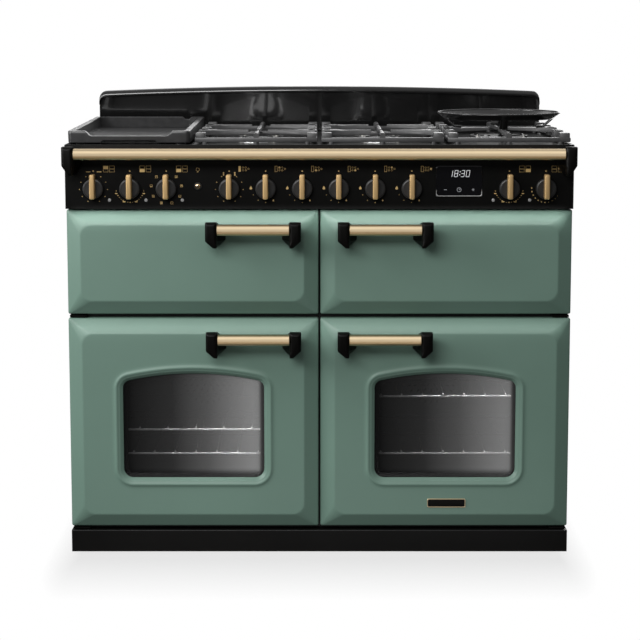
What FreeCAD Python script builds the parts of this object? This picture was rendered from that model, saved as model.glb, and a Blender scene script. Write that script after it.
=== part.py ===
import FreeCAD, Part
import math
import os

Vector = FreeCAD.Vector

# A free-standing dual-fuel range cooker of the 110 cm class, in millimetres.
# +X is the viewer's right, +Y the back, +Z up; the origin is on the floor under the middle.

# Widths and heights of the fronts
FRONT_WIDTH = 1092.0
CENTRE_GAP = 4.0
SIDE_INSET = 3.0
PLINTH_LIFT = 6.0
PLINTH_HEIGHT = 48.0
LOWER_GAP = 9.0
LOWER_HEIGHT = 464.0
MIDDLE_GAP = 9.0
UPPER_HEIGHT = 228.0
UPPER_GAP = 3.0
FASCIA_HEIGHT = 130.0

# Depths, from the back panel forward
BODY_DEPTH = 560.0
SEAL_GAP = 3.0
DOOR_EDGE = 20.0
DOOR_PROUD = 20.0
HANDLE_REACH = 45.0
FASCIA_FORWARD = 14.0
PLINTH_FORWARD = 5.0

# Sheet thicknesses and clearances
SHEET = 1.5
FRAME_DEPTH = 4.0
RUNNING = 0.05
LOOSE = 0.3
TINY = 0.01

# Pressed fronts
BEVEL_WIDTH = 31.0
RIM_CORNER = 4.0
FLAT_CORNER = 19.0

# Door windows
WINDOW_WIDTH = 305.0
WINDOW_LIFT = 114.0
WINDOW_SHOULDER = 211.0
WINDOW_RISE = 18.0
WINDOW_LOW_CORNER = 20.0
WINDOW_TOP_CORNER = 16.0
BEAD_WIDTH = 18.5
BEAD_PROUD = 6.0
BEAD_ROUNDING = 5.4
GLASS = 4.0
GLASS_LAP = 14.0

# Handles and the hob rail
BAR_DIAMETER = 24.0
HANDLE_BAR_LENGTH = 154.0
HANDLE_CENTRE_X = 141.0
HANDLE_DROP = 37.0
BRACKET_WIDTH = 25.0
BRACKET_TOP = 14.0
BRACKET_SIDE = 14.0
BRACKET_POINT = 30.0
FOOT_INWARD = 17.0
FOOT_DROP = 14.0
RAIL_END = 26.0
RAIL_DROP = 9.0
RAIL_FOOT_INWARD = 8.0
RAIL_FOOT_DROP = 18.0

# Hinges
HINGE_SIDE = 8.0
HINGE_BACK = 14.0
PIN_DIAMETER = 6.0
PIN_LENGTH = 12.0
PIN_END_GAP = 1.0
HINGE_PLATE = 4.0
HINGE_BLOCK = 16.0

# Compartments
OVEN_WIDTH = 420.0
OVEN_HEIGHT = 380.0
OVEN_DEPTH = 430.0
OVEN_LIFT = 45.0
UPPER_CAVITY_HEIGHT = 150.0
UPPER_CAVITY_DEPTH = 400.0
UPPER_CAVITY_LIFT = 39.0
CAVITY_FLANGE = 14.0
SEAL_WIDTH = 10.0

# Shelves, grill and drawer
LOW_SHELF_HEIGHT = 106.0
LEFT_TOP_SHELF_HEIGHT = 160.0
RIGHT_TOP_SHELF_HEIGHT = 235.0
SHELF_BAR = 6.0
SHELF_WIRE = 4.0
SHELF_WIRES = 9
SHELF_DEPTH = 360.0
LEDGE = 8.0
GRILL_LEDGE = 40.0
GRILL_PAN_HEIGHT = 30.0
ELEMENT_DIAMETER = 8.0
ELEMENT_TAIL = 6.0
ELEMENT_RING_RADIUS = 90.0
GRILL_ELEMENT_INSET = 70.0
GRILL_LANE_PITCH = 84.0
DRAWER_DEPTH = 360.0
DRAWER_SIDE = 110.0
DRAWER_LIFT = 20.0
RUNNER_WIDTH = 12.0
RUNNER_HEIGHT = 24.0
RUNNER_LIFT = 40.0

# Controls
KNOB_PITCH = 78.3
OVEN_KNOBS = 3
HOB_KNOBS = 6
RIGHT_KNOBS = 2
OVEN_KNOBS_INSET = 61.0
HOB_KNOBS_MIDDLE = 2.25
RIGHT_KNOBS_INSET = 60.2
KNOB_DROP = 86.0
KNOB_DIAMETER = 44.0
KNOB_DISC = 13.0
KNOB_GAP = 1.0
KNOB_ROUNDING = 3.25
GRIP_WIDTH = 12.0
GRIP_DEPTH = 18.0
GRIP_UP = 36.0
GRIP_DOWN = 17.0
GRIP_CORNER = 5.0
SPINDLE = 8.0
SPINDLE_HOLE = 12.0
SPINDLE_REACH = 8.0
SOCKET_DEPTH = 12.0
BUTTON_LIFT = 5.0
BUTTON_DIAMETER = 16.0
BUTTON_TRAVEL = 3.0
BUTTON_PROUD = 2.0
LAMP_DIAMETER = 7.0
LAMP_ASIDE = 34.0
LAMP_DROP = 25.0
LAMP_PROUD = 0.75
LAMP_DEPTH = 7.0
CLOCK_ASIDE = 2.75
CLOCK_WIDTH = 99.0
CLOCK_HEIGHT = 65.0
CLOCK_LIFT = 16.0
CLOCK_PROUD = 0.75
CLOCK_DEPTH = 23.0
TAP_SIZE = 26.0
CONTROL_SIZE = 46.0
CONTROL_DEPTH = 34.0
BAY_EDGE = 40.0
MANIFOLD_SIZE = 24.0
MANIFOLD_BACK = 24.0
TAP_SETBACK = 15.0
INLET_DIAMETER = 21.0
INLET_BORE = 14.0
INLET_DEPTH = 18.0
INLET_EDGE = 63.0
GLAND_DIAMETER = 20.0
GLAND_EDGE = 63.0

# Feet and base
BASE_HEIGHT = 52.0
BASE_SKIRT = 12.0
FOOT_DIAMETER = 40.0
FOOT_STUD = 12.0
FOOT_DISC = 8.0
FOOT_INSET = 60.0

# Hob
HOB_FLOOR = 3.0
HOB_RIM_HEIGHT = 8.0
HOB_RIM_WIDTH = 9.0
SUPPORTS_ACROSS = 4
SUPPORT_DEPTH = 465.0
SUPPORT_GAP = 8.0
SUPPORT_TOP = 27.0
SUPPORT_UNDER = 7.0
SUPPORT_BAR = 12.0
SUPPORT_RAIL_HEIGHT = 10.0
TOOTH_WIDTH = 22.0
TOOTH_LENGTH = 40.0
TEETH = 5
FINGER_TIP_WIDTH = 6.0
FINGER_TIP_HEIGHT = 8.0
FINGER_GAP = 22.0
HOB_CENTRE_Y = 20.0
BURNER_DIAMETER = 88.0
WOK_BURNER_DIAMETER = 130.0
BURNER_HEIGHT = 9.0
CAP_HEIGHT = 5.0
CAP_INSET = 9.0
GRIDDLE_SIDE_GAP = 1.0
GRIDDLE_DEPTH = 490.0
GRIDDLE_HEIGHT = 22.0
GRIDDLE_LIFT = 10.0
GRIDDLE_WALL = 9.0
GRIDDLE_FLOOR = 6.0
GRIDDLE_CORNER = 22.0
GRIDDLE_DIP = 8.0
GRIDDLE_DIP_SLOPE = 16.0
GRIDDLE_DIP_INSET = 44.0
HOT_PLATE_HEIGHT = 9.0
HOT_PLATE_SIDE_GAP = 30.0
HOT_PLATE_END_GAP = 60.0
WOK_RIM_DIAMETER = 282.0
WOK_FOOT_DIAMETER = 212.0
WOK_HEIGHT = 36.0
WOK_BAND = 15.0
WOK_SHEET = 5.0
WOK_LEG_WIDTH = 20.0

# Backguard
GUARD_HEIGHT = 100.0
GUARD_END_DROP = 12.0
GUARD_THICKNESS = 10.0
GUARD_LIP = 8.0
GUARD_LIP_HEIGHT = 14.0
GUARD_CORNER = 18.0

# Places worked out from the sizes above
HALF = FRONT_WIDTH / 2
CABINET_HALF = HALF - SIDE_INSET
DOOR_WIDTH = (FRONT_WIDTH - CENTRE_GAP) / 2
DOOR_X = (CENTRE_GAP + DOOR_WIDTH) / 2
BAR_RADIUS = BAR_DIAMETER / 2
TOTAL_DEPTH = BODY_DEPTH + SEAL_GAP + DOOR_EDGE + DOOR_PROUD + HANDLE_REACH + BAR_RADIUS
BACK_Y = TOTAL_DEPTH / 2
FRAME_Y = BACK_Y - BODY_DEPTH
FRAME_BACK_Y = FRAME_Y + FRAME_DEPTH
DOOR_BACK_Y = FRAME_Y - SEAL_GAP
RIM_Y = DOOR_BACK_Y - DOOR_EDGE
FLAT_Y = RIM_Y - DOOR_PROUD
BAR_Y = FLAT_Y - HANDLE_REACH
FASCIA_Y = RIM_Y - FASCIA_FORWARD
LOWER_Z = PLINTH_LIFT + PLINTH_HEIGHT + LOWER_GAP
LOWER_TOP_Z = LOWER_Z + LOWER_HEIGHT
UPPER_Z = LOWER_TOP_Z + MIDDLE_GAP
UPPER_TOP_Z = UPPER_Z + UPPER_HEIGHT
FASCIA_Z = UPPER_TOP_Z + UPPER_GAP
FASCIA_TOP_Z = FASCIA_Z + FASCIA_HEIGHT
OVEN_Z = LOWER_Z + OVEN_LIFT
UPPER_CAVITY_Z = UPPER_Z + UPPER_CAVITY_LIFT
KNOB_Z = FASCIA_TOP_Z - KNOB_DROP
HOB_Z = FASCIA_TOP_Z + HOB_FLOOR
HOB_RIM_Z = FASCIA_TOP_Z + HOB_RIM_HEIGHT
SUPPORT_TOP_Z = HOB_Z + SUPPORT_TOP
HINGE_X = HALF - HINGE_SIDE
HINGE_Y = DOOR_BACK_Y - HINGE_BACK
RAIL_Z = FASCIA_TOP_Z - RAIL_DROP
RAIL_HALF = HALF - RAIL_END
SUPPORT_PITCH = (FRONT_WIDTH + SUPPORT_GAP) / SUPPORTS_ACROSS
SUPPORT_WIDTH = SUPPORT_PITCH - SUPPORT_GAP
GRIDDLE_WIDTH = SUPPORT_WIDTH - 2 * GRIDDLE_SIDE_GAP
WOK_X = (SUPPORTS_ACROSS - 1) * SUPPORT_PITCH / 2
INLET_X = CABINET_HALF - INLET_EDGE
GLAND_X = GLAND_EDGE - CABINET_HALF
BAY_HALF_HEIGHT = CONTROL_SIZE / 2 + SHEET
LEFT_SHELF_HEIGHTS = (LOW_SHELF_HEIGHT, LEFT_TOP_SHELF_HEIGHT)
RIGHT_SHELF_HEIGHTS = (LOW_SHELF_HEIGHT, RIGHT_TOP_SHELF_HEIGHT)
PLINTH_Y = RIM_Y - PLINTH_FORWARD
TOOTH_PITCH = (SUPPORT_DEPTH - TOOTH_LENGTH) / (TEETH - 1)
PAIR_YS = (HOB_CENTRE_Y - TOOTH_PITCH, HOB_CENTRE_Y + TOOTH_PITCH)
CONTROL_Y = FASCIA_Y + SHEET
TAP_Y = FASCIA_Y + TAP_SETBACK
MANIFOLD_Y = FRAME_Y + MANIFOLD_BACK


def box(x0, x1, y0, y1, z0, z1):
    """Block between two corners."""
    return Part.makeBox(x1 - x0, y1 - y0, z1 - z0, Vector(x0, y0, z0))


def rod(diameter, start, end):
    """Round bar from one point to another."""
    along = end.sub(start)
    return Part.makeCylinder(diameter / 2, along.Length, start, along)


def fused(shapes):
    """One solid from overlapping or touching solids."""
    return shapes[0].multiFuse(shapes[1:]).removeSplitter()


def cut_all(shape, tools):
    """Shape with every tool taken away."""
    return shape.cut(Part.makeCompound(tools))


def front_wire(x0, x1, z0, z1, radius, y):
    """Rounded rectangle that faces the front, at one depth."""
    slack = radius * (1 - math.sqrt(0.5))

    def at(x, z):
        return Vector(x, y, z)

    edges = [
        Part.LineSegment(at(x0 + radius, z0), at(x1 - radius, z0)),
        Part.Arc(at(x1 - radius, z0), at(x1 - slack, z0 + slack), at(x1, z0 + radius)),
        Part.LineSegment(at(x1, z0 + radius), at(x1, z1 - radius)),
        Part.Arc(at(x1, z1 - radius), at(x1 - slack, z1 - slack), at(x1 - radius, z1)),
        Part.LineSegment(at(x1 - radius, z1), at(x0 + radius, z1)),
        Part.Arc(at(x0 + radius, z1), at(x0 + slack, z1 - slack), at(x0, z1 - radius)),
        Part.LineSegment(at(x0, z1 - radius), at(x0, z0 + radius)),
        Part.Arc(at(x0, z0 + radius), at(x0 + slack, z0 + slack), at(x0 + radius, z0)),
    ]
    return Part.Wire([edge.toShape() for edge in edges])


def plan_block(x0, x1, y0, y1, z0, z1, radius):
    """Block with rounded corners in plan."""
    block = box(x0, x1, y0, y1, z0, z1)
    upright = [edge for edge in block.Edges if abs(edge.tangentAt(edge.FirstParameter).z) > 0.9]
    return block.makeFillet(radius, upright)


def polygon_prism(points, push):
    """Flat polygon pushed along a direction into a solid."""
    corners = [Vector(*point) for point in points]
    return Part.Face(Part.makePolygon(corners + corners[:1])).extrude(push)


# Carcass

def base_tray():
    """Upturned tray that carries the sides and the front frame."""
    outer = box(-CABINET_HALF, CABINET_HALF, FRAME_Y, BACK_Y, BASE_HEIGHT - BASE_SKIRT, BASE_HEIGHT)
    hollow = box(-CABINET_HALF + SHEET, CABINET_HALF - SHEET, FRAME_Y + SHEET, BACK_Y - SHEET,
                 BASE_HEIGHT - BASE_SKIRT, BASE_HEIGHT - SHEET)
    return outer.cut(hollow)


def levelling_feet():
    """Four screw feet under the base tray."""
    feet = []
    for x in (-CABINET_HALF + FOOT_INSET, CABINET_HALF - FOOT_INSET):
        for y in (FRAME_Y + FOOT_INSET, BACK_Y - FOOT_INSET):
            disc = rod(FOOT_DIAMETER, Vector(x, y, 0), Vector(x, y, FOOT_DISC))
            stud = rod(FOOT_STUD, Vector(x, y, FOOT_DISC), Vector(x, y, BASE_HEIGHT - SHEET))
            feet.append(fused([disc, stud]))
    return Part.makeCompound(feet)


def plinth():
    """Kick strip under the doors, with a top flange back to the front frame."""
    top = PLINTH_LIFT + PLINTH_HEIGHT
    outer = box(-HALF, HALF, PLINTH_Y, FRAME_Y, PLINTH_LIFT, top)
    hollow = box(-HALF + SHEET, HALF - SHEET, PLINTH_Y + SHEET, FRAME_Y, PLINTH_LIFT, top - SHEET)
    return outer.cut(hollow)


def side_panels():
    """Two plain side sheets standing on the base tray."""
    left = box(-CABINET_HALF, -CABINET_HALF + SHEET, FRAME_BACK_Y, BACK_Y - SHEET, BASE_HEIGHT, FASCIA_TOP_Z)
    right = box(CABINET_HALF - SHEET, CABINET_HALF, FRAME_BACK_Y, BACK_Y - SHEET, BASE_HEIGHT, FASCIA_TOP_Z)
    return Part.makeCompound([left, right])


def back_panel():
    """Back sheet with the gas inlet and cable gland holes."""
    sheet = box(-CABINET_HALF, CABINET_HALF, BACK_Y - SHEET, BACK_Y, BASE_HEIGHT, FASCIA_TOP_Z)
    holes = []
    for x, diameter in ((INLET_X, INLET_DIAMETER + 2 * LOOSE), (GLAND_X, GLAND_DIAMETER)):
        holes.append(rod(diameter, Vector(x, BACK_Y - SHEET, KNOB_Z), Vector(x, BACK_Y, KNOB_Z)))
    return cut_all(sheet, holes)


def compartment(side, upper):
    """Inside box of a compartment as x0, x1, y0, y1, z0, z1; side is -1 left or 1 right."""
    low = UPPER_CAVITY_Z if upper else OVEN_Z
    height = UPPER_CAVITY_HEIGHT if upper else OVEN_HEIGHT
    depth = UPPER_CAVITY_DEPTH if upper else OVEN_DEPTH
    middle = side * DOOR_X
    return (middle - OVEN_WIDTH / 2, middle + OVEN_WIDTH / 2,
            FRAME_BACK_Y, FRAME_BACK_Y + depth, low, low + height)


def front_frame():
    """Face frame with an opening for each compartment and one for the controls."""
    frame = box(-CABINET_HALF, CABINET_HALF, FRAME_Y, FRAME_BACK_Y, BASE_HEIGHT, FASCIA_TOP_Z)
    openings = []
    for side in (-1, 1):
        for upper in (False, True):
            x0, x1, y0, y1, z0, z1 = compartment(side, upper)
            openings.append(box(x0, x1, FRAME_Y, FRAME_BACK_Y, z0, z1))
    openings.append(box(-CABINET_HALF + BAY_EDGE, CABINET_HALF - BAY_EDGE, FRAME_Y, FRAME_BACK_Y,
                        KNOB_Z - BAY_HALF_HEIGHT, KNOB_Z + BAY_HALF_HEIGHT))
    return cut_all(frame, openings)


def cavity(side, upper, ledge_heights):
    """Five-walled liner with a front flange, and ledges for what slides in it."""
    x0, x1, y0, y1, z0, z1 = compartment(side, upper)
    shell = box(x0 - SHEET, x1 + SHEET, y0, y1 + SHEET, z0 - SHEET, z1 + SHEET)
    flange = box(x0 - CAVITY_FLANGE, x1 + CAVITY_FLANGE, y0, y0 + SHEET,
                 z0 - CAVITY_FLANGE, z1 + CAVITY_FLANGE)
    pieces = [fused([shell, flange]).cut(box(x0, x1, y0, y1, z0, z1))]
    for height in ledge_heights:
        top = z0 + height
        pieces.append(box(x0, x0 + LEDGE, y0 + LEDGE, y1, top - SHEET, top))
        pieces.append(box(x1 - LEDGE, x1, y0 + LEDGE, y1, top - SHEET, top))
    return fused(pieces) if ledge_heights else pieces[0]


# Hob and backguard

def hob_tray():
    """Enamelled tray with a raised rim, over the whole top."""
    outer = box(-HALF, HALF, FASCIA_Y, BACK_Y, FASCIA_TOP_Z, HOB_RIM_Z)
    rim = HOB_RIM_WIDTH
    guard_y = BACK_Y - GUARD_THICKNESS - GUARD_LIP
    well = box(-HALF + rim, HALF - rim, FASCIA_Y + rim, guard_y - rim, HOB_Z, HOB_RIM_Z)
    return outer.cut(well)


def arched_sheet(y0):
    """Sheet from a depth to the back, with an arched top and rounded top corners."""
    low = HOB_RIM_Z
    middle_z = low + GUARD_HEIGHT
    end_z = middle_z - GUARD_END_DROP
    reach = CABINET_HALF

    def at(x, z):
        return Vector(x, y0, z)

    edges = [
        Part.LineSegment(at(-reach, low), at(reach, low)),
        Part.LineSegment(at(reach, low), at(reach, end_z)),
        Part.Arc(at(reach, end_z), at(0, middle_z), at(-reach, end_z)),
        Part.LineSegment(at(-reach, end_z), at(-reach, low)),
    ]
    sheet = Part.Face(Part.Wire([edge.toShape() for edge in edges])).extrude(Vector(0, BACK_Y - y0, 0))
    top_corners = [edge for edge in sheet.Edges
                   if edge.BoundBox.ZLength < TINY and edge.BoundBox.XLength < TINY
                   and edge.BoundBox.ZMin > end_z - TINY]
    return sheet.makeFillet(GUARD_CORNER, top_corners)


def backguard():
    """Splashback with an arched, rolled top lip."""
    sheet = arched_sheet(BACK_Y - GUARD_THICKNESS)
    lip_y = BACK_Y - GUARD_THICKNESS - GUARD_LIP
    lip_z = HOB_RIM_Z + GUARD_HEIGHT - GUARD_END_DROP - GUARD_LIP_HEIGHT
    lip = arched_sheet(lip_y)
    under_lip = box(-HALF, HALF, lip_y, BACK_Y, HOB_RIM_Z, lip_z)
    return fused([sheet, lip.cut(under_lip)])


def burner_places():
    """Centre and diameter of each gas burner: two under each middle support, one for the wok."""
    places = []
    for x in (-SUPPORT_PITCH / 2, SUPPORT_PITCH / 2):
        for y in PAIR_YS:
            places.append((x, y, BURNER_DIAMETER))
    places.append((WOK_X, HOB_CENTRE_Y, WOK_BURNER_DIAMETER))
    return places


def burner_bodies():
    """Aluminium burner heads standing in the hob well."""
    return Part.makeCompound([rod(diameter, Vector(x, y, HOB_Z), Vector(x, y, HOB_Z + BURNER_HEIGHT))
                              for x, y, diameter in burner_places()])


def burner_caps():
    """Enamelled caps on the burner heads."""
    low = HOB_Z + BURNER_HEIGHT
    caps = []
    for x, y, diameter in burner_places():
        width = diameter - 2 * CAP_INSET
        caps.append(rod(width, Vector(x, y, low), Vector(x, y, low + CAP_HEIGHT)))
    return Part.makeCompound(caps)


def hot_plate():
    """Electric plate under the griddle."""
    reach_x = GRIDDLE_WIDTH / 2 - HOT_PLATE_SIDE_GAP
    reach_y = GRIDDLE_DEPTH / 2 - HOT_PLATE_END_GAP
    return plan_block(-WOK_X - reach_x, -WOK_X + reach_x, HOB_CENTRE_Y - reach_y, HOB_CENTRE_Y + reach_y,
                      HOB_Z, HOB_Z + HOT_PLATE_HEIGHT, GRIDDLE_CORNER)


def griddle():
    """Cast tray with a dipped front wall and four feet."""
    x0 = -WOK_X - GRIDDLE_WIDTH / 2
    x1 = -WOK_X + GRIDDLE_WIDTH / 2
    y0 = HOB_CENTRE_Y - GRIDDLE_DEPTH / 2
    y1 = HOB_CENTRE_Y + GRIDDLE_DEPTH / 2
    low = HOB_Z + GRIDDLE_LIFT
    top = low + GRIDDLE_HEIGHT
    tray = plan_block(x0, x1, y0, y1, low, top, GRIDDLE_WALL)
    well = plan_block(x0 + GRIDDLE_WALL, x1 - GRIDDLE_WALL, y0 + GRIDDLE_WALL, y1 - GRIDDLE_WALL,
                      low + GRIDDLE_FLOOR, top, GRIDDLE_CORNER)
    dip_x0 = x0 + GRIDDLE_DIP_INSET
    dip_x1 = x1 - GRIDDLE_DIP_INSET
    dip = polygon_prism([(dip_x0 - GRIDDLE_DIP_SLOPE, y0, top), (dip_x0, y0, top - GRIDDLE_DIP),
                         (dip_x1, y0, top - GRIDDLE_DIP), (dip_x1 + GRIDDLE_DIP_SLOPE, y0, top)],
                        Vector(0, GRIDDLE_WALL, 0))
    feet = []
    for x in (x0 + GRIDDLE_CORNER, x1 - GRIDDLE_CORNER):
        for y in (y0 + GRIDDLE_CORNER, y1 - GRIDDLE_CORNER):
            feet.append(rod(GRIDDLE_CORNER, Vector(x, y, HOB_Z), Vector(x, y, low)))
    return fused([cut_all(tray, [well, dip])] + feet)


def finger(root, tip, across):
    """Cast finger from a wide deep root to a thin tip; across is the sideways direction."""
    def section(place, width, under):
        half = across * (width / 2)
        low = Vector(place.x, place.y, under)
        high = Vector(place.x, place.y, SUPPORT_TOP_Z)
        corners = [low - half, low + half, high + half, high - half]
        return Part.makePolygon(corners + corners[:1])

    wide = section(root, SUPPORT_BAR, HOB_Z + SUPPORT_UNDER)
    thin = section(tip, FINGER_TIP_WIDTH, SUPPORT_TOP_Z - FINGER_TIP_HEIGHT)
    return Part.makeLoft([wide, thin], True, True)


def pan_support(x, burner_ys):
    """Cast frame with toothed sides, fingers towards each burner and a broken middle spine."""
    x0 = x - SUPPORT_WIDTH / 2
    x1 = x + SUPPORT_WIDTH / 2
    y0 = HOB_CENTRE_Y - SUPPORT_DEPTH / 2
    y1 = HOB_CENTRE_Y + SUPPORT_DEPTH / 2
    low = HOB_Z + SUPPORT_UNDER
    rail_top = low + SUPPORT_RAIL_HEIGHT
    bar = SUPPORT_BAR
    pieces = [
        box(x0, x0 + bar, y0, y1, low, rail_top),
        box(x1 - bar, x1, y0, y1, low, rail_top),
        box(x0, x1, y0, y0 + bar, low, rail_top),
        box(x0, x1, y1 - bar, y1, low, rail_top),
        box(x - bar / 2, x + bar / 2, y0, y0 + bar, low, SUPPORT_TOP_Z),
        box(x - bar / 2, x + bar / 2, y1 - bar, y1, low, SUPPORT_TOP_Z),
    ]
    for tooth in range(TEETH):
        start = y0 + tooth * TOOTH_PITCH
        pieces.append(box(x0, x0 + TOOTH_WIDTH, start, start + TOOTH_LENGTH, low, SUPPORT_TOP_Z))
        pieces.append(box(x1 - TOOTH_WIDTH, x1, start, start + TOOTH_LENGTH, low, SUPPORT_TOP_Z))
    for y in burner_ys:
        pieces.append(finger(Vector(x0 + bar, y, 0), Vector(x - FINGER_GAP, y, 0), Vector(0, 1, 0)))
        pieces.append(finger(Vector(x1 - bar, y, 0), Vector(x + FINGER_GAP, y, 0), Vector(0, 1, 0)))
    sideways = Vector(1, 0, 0)
    front_tip = Vector(x, burner_ys[0] - FINGER_GAP, 0)
    rear_tip = Vector(x, burner_ys[-1] + FINGER_GAP, 0)
    pieces.append(finger(Vector(x, y0 + bar, 0), front_tip, sideways))
    pieces.append(finger(Vector(x, y1 - bar, 0), rear_tip, sideways))
    if len(burner_ys) > 1:
        middle = HOB_CENTRE_Y
        pieces.append(box(x0, x1, middle - bar / 2, middle + bar / 2, low, rail_top))
        for y in burner_ys:
            inward = FINGER_GAP if y < middle else -FINGER_GAP
            pieces.append(finger(Vector(x, middle, 0), Vector(x, y + inward, 0), sideways))
    for foot_x in (x0 + TOOTH_WIDTH, x1 - TOOTH_WIDTH):
        for foot_y in (y0 + bar / 2, y1 - bar / 2):
            pieces.append(rod(bar, Vector(foot_x, foot_y, HOB_Z), Vector(foot_x, foot_y, low)))
    return fused(pieces)


def wok_cradle():
    """Sloping ring on four legs that stands on the wok support."""
    rim = WOK_RIM_DIAMETER / 2
    foot = WOK_FOOT_DIAMETER / 2
    slope = (rim - foot) / WOK_HEIGHT
    top = SUPPORT_TOP_Z + WOK_HEIGHT
    band_low = top - WOK_BAND
    band_foot = rim - WOK_BAND * slope
    corners = [Vector(rim, 0, top), Vector(rim - WOK_SHEET, 0, top),
               Vector(band_foot - WOK_SHEET, 0, band_low), Vector(band_foot, 0, band_low)]
    ring = Part.Face(Part.makePolygon(corners + corners[:1])).revolve(Vector(0, 0, 0), Vector(0, 0, 1), 360)
    lap = WOK_SHEET / 2
    leg = polygon_prism([(band_foot + lap * slope, -WOK_LEG_WIDTH / 2, band_low + lap),
                         (band_foot - WOK_SHEET + lap * slope, -WOK_LEG_WIDTH / 2, band_low + lap),
                         (foot - WOK_SHEET, -WOK_LEG_WIDTH / 2, SUPPORT_TOP_Z),
                         (foot, -WOK_LEG_WIDTH / 2, SUPPORT_TOP_Z)],
                        Vector(0, WOK_LEG_WIDTH, 0))
    pieces = [ring]
    for quarter in range(4):
        turned = leg.copy()
        turned.rotate(Vector(0, 0, 0), Vector(0, 0, 1), 90 * quarter)
        pieces.append(turned)
    cradle = fused(pieces)
    cradle.translate(Vector(WOK_X, HOB_CENTRE_Y, 0))
    return cradle


# Controls

def knobs_from(start, count):
    """Middles of evenly spaced knobs."""
    return [start + KNOB_PITCH * number for number in range(count)]


def oven_knob_row():
    """Middles of the knobs at the left end of the fascia."""
    return knobs_from(OVEN_KNOBS_INSET - HALF, OVEN_KNOBS)


def hob_knob_row():
    """Middles of the knobs under the hob: the griddle first, then the burners."""
    return knobs_from(HOB_KNOBS_MIDDLE - KNOB_PITCH * (HOB_KNOBS - 1) / 2, HOB_KNOBS)


def right_knob_row():
    """Middles of the knobs at the right end of the fascia."""
    return knobs_from(HALF - RIGHT_KNOBS_INSET - KNOB_PITCH * (RIGHT_KNOBS - 1), RIGHT_KNOBS)


def knob_row():
    """Middle of each knob along the fascia, from left to right."""
    return oven_knob_row() + hob_knob_row() + right_knob_row()


def gas_knob_row():
    """Middles of the five burner knobs."""
    return hob_knob_row()[1:]


def electric_knob_row():
    """Middles of the knobs that work heat controls."""
    return oven_knob_row() + hob_knob_row()[:1] + right_knob_row()


def lamp_row():
    """Middle of each neon lamp: right of the left knobs, left of the right knobs."""
    return [x + LAMP_ASIDE for x in oven_knob_row()] + [x - LAMP_ASIDE for x in right_knob_row()]


def button_x():
    """Middle of the push button, halfway between two groups of knobs."""
    return (oven_knob_row()[-1] + hob_knob_row()[0]) / 2


def clock_block(clearance, y0, y1):
    """Space of the clock panel in the fascia, grown by a clearance."""
    x = (hob_knob_row()[-1] + right_knob_row()[0]) / 2 - CLOCK_ASIDE
    z = KNOB_Z + CLOCK_LIFT
    across = CLOCK_WIDTH / 2 + clearance
    up = CLOCK_HEIGHT / 2 + clearance
    return box(x - across, x + across, y0, y1, z - up, z + up)


def fascia():
    """Control panel shell, open at the back, with holes for the controls and the grill door pin."""
    inner_y = FASCIA_Y + SHEET
    shell = box(-HALF, HALF, FASCIA_Y, FRAME_Y, FASCIA_Z, FASCIA_TOP_Z)
    hollow = box(-HALF + SHEET, HALF - SHEET, inner_y, FRAME_Y, FASCIA_Z + SHEET, FASCIA_TOP_Z - SHEET)
    holes = [hollow, clock_block(LOOSE, FASCIA_Y, inner_y)]
    for x in knob_row():
        holes.append(rod(SPINDLE_HOLE, Vector(x, FASCIA_Y, KNOB_Z), Vector(x, inner_y, KNOB_Z)))
    for x in lamp_row():
        z = KNOB_Z - LAMP_DROP
        holes.append(rod(LAMP_DIAMETER + 2 * RUNNING, Vector(x, FASCIA_Y, z), Vector(x, inner_y, z)))
    x = button_x()
    z = KNOB_Z + BUTTON_LIFT
    holes.append(rod(BUTTON_DIAMETER + 2 * RUNNING, Vector(x, FASCIA_Y, z), Vector(x, inner_y, z)))
    holes.append(rod(PIN_DIAMETER + 2 * LOOSE, Vector(-HINGE_X, HINGE_Y, FASCIA_Z),
                     Vector(-HINGE_X, HINGE_Y, FASCIA_Z + SHEET)))
    return cut_all(shell, holes)


def clock_display():
    """Black glass clock panel let into the fascia."""
    return clock_block(0, FASCIA_Y - CLOCK_PROUD, FASCIA_Y + CLOCK_DEPTH)


def indicator_lamps():
    """Small round neon lamps in the fascia."""
    z = KNOB_Z - LAMP_DROP
    return Part.makeCompound([rod(LAMP_DIAMETER, Vector(x, FASCIA_Y - LAMP_PROUD, z),
                                  Vector(x, FASCIA_Y + LAMP_DEPTH, z)) for x in lamp_row()])


def knob(x, spindle_end):
    """Round skirt with its spindle, and a straight grip bar that overhangs it at the top."""
    back = FASCIA_Y - KNOB_GAP
    front = back - KNOB_DISC
    skirt = rod(KNOB_DIAMETER, Vector(x, front, KNOB_Z), Vector(x, back, KNOB_Z))
    rim = [edge for edge in skirt.Edges if edge.BoundBox.YMax < front + TINY]
    skirt = skirt.makeFillet(KNOB_ROUNDING, rim)
    spindle = rod(SPINDLE, Vector(x, front + KNOB_DISC / 2, KNOB_Z), Vector(x, spindle_end, KNOB_Z))
    half = GRIP_WIDTH / 2
    face = front_wire(x - half, x + half, KNOB_Z - GRIP_DOWN, KNOB_Z + GRIP_UP,
                      GRIP_CORNER, front - GRIP_DEPTH)
    grip = Part.Face(face).extrude(Vector(0, GRIP_DEPTH, 0))
    return Part.makeCompound([fused([skirt, spindle]), grip])


def lamp_button():
    """Push button with a collar behind the fascia."""
    x = button_x()
    z = KNOB_Z + BUTTON_LIFT
    face = FASCIA_Y - BUTTON_TRAVEL - BUTTON_PROUD
    inner_y = FASCIA_Y + SHEET + LOOSE
    stem = rod(BUTTON_DIAMETER, Vector(x, face, z), Vector(x, inner_y, z))
    collar = rod(BUTTON_DIAMETER + 2 * SHEET, Vector(x, inner_y, z), Vector(x, inner_y + SHEET, z))
    return fused([stem, collar])


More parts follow.
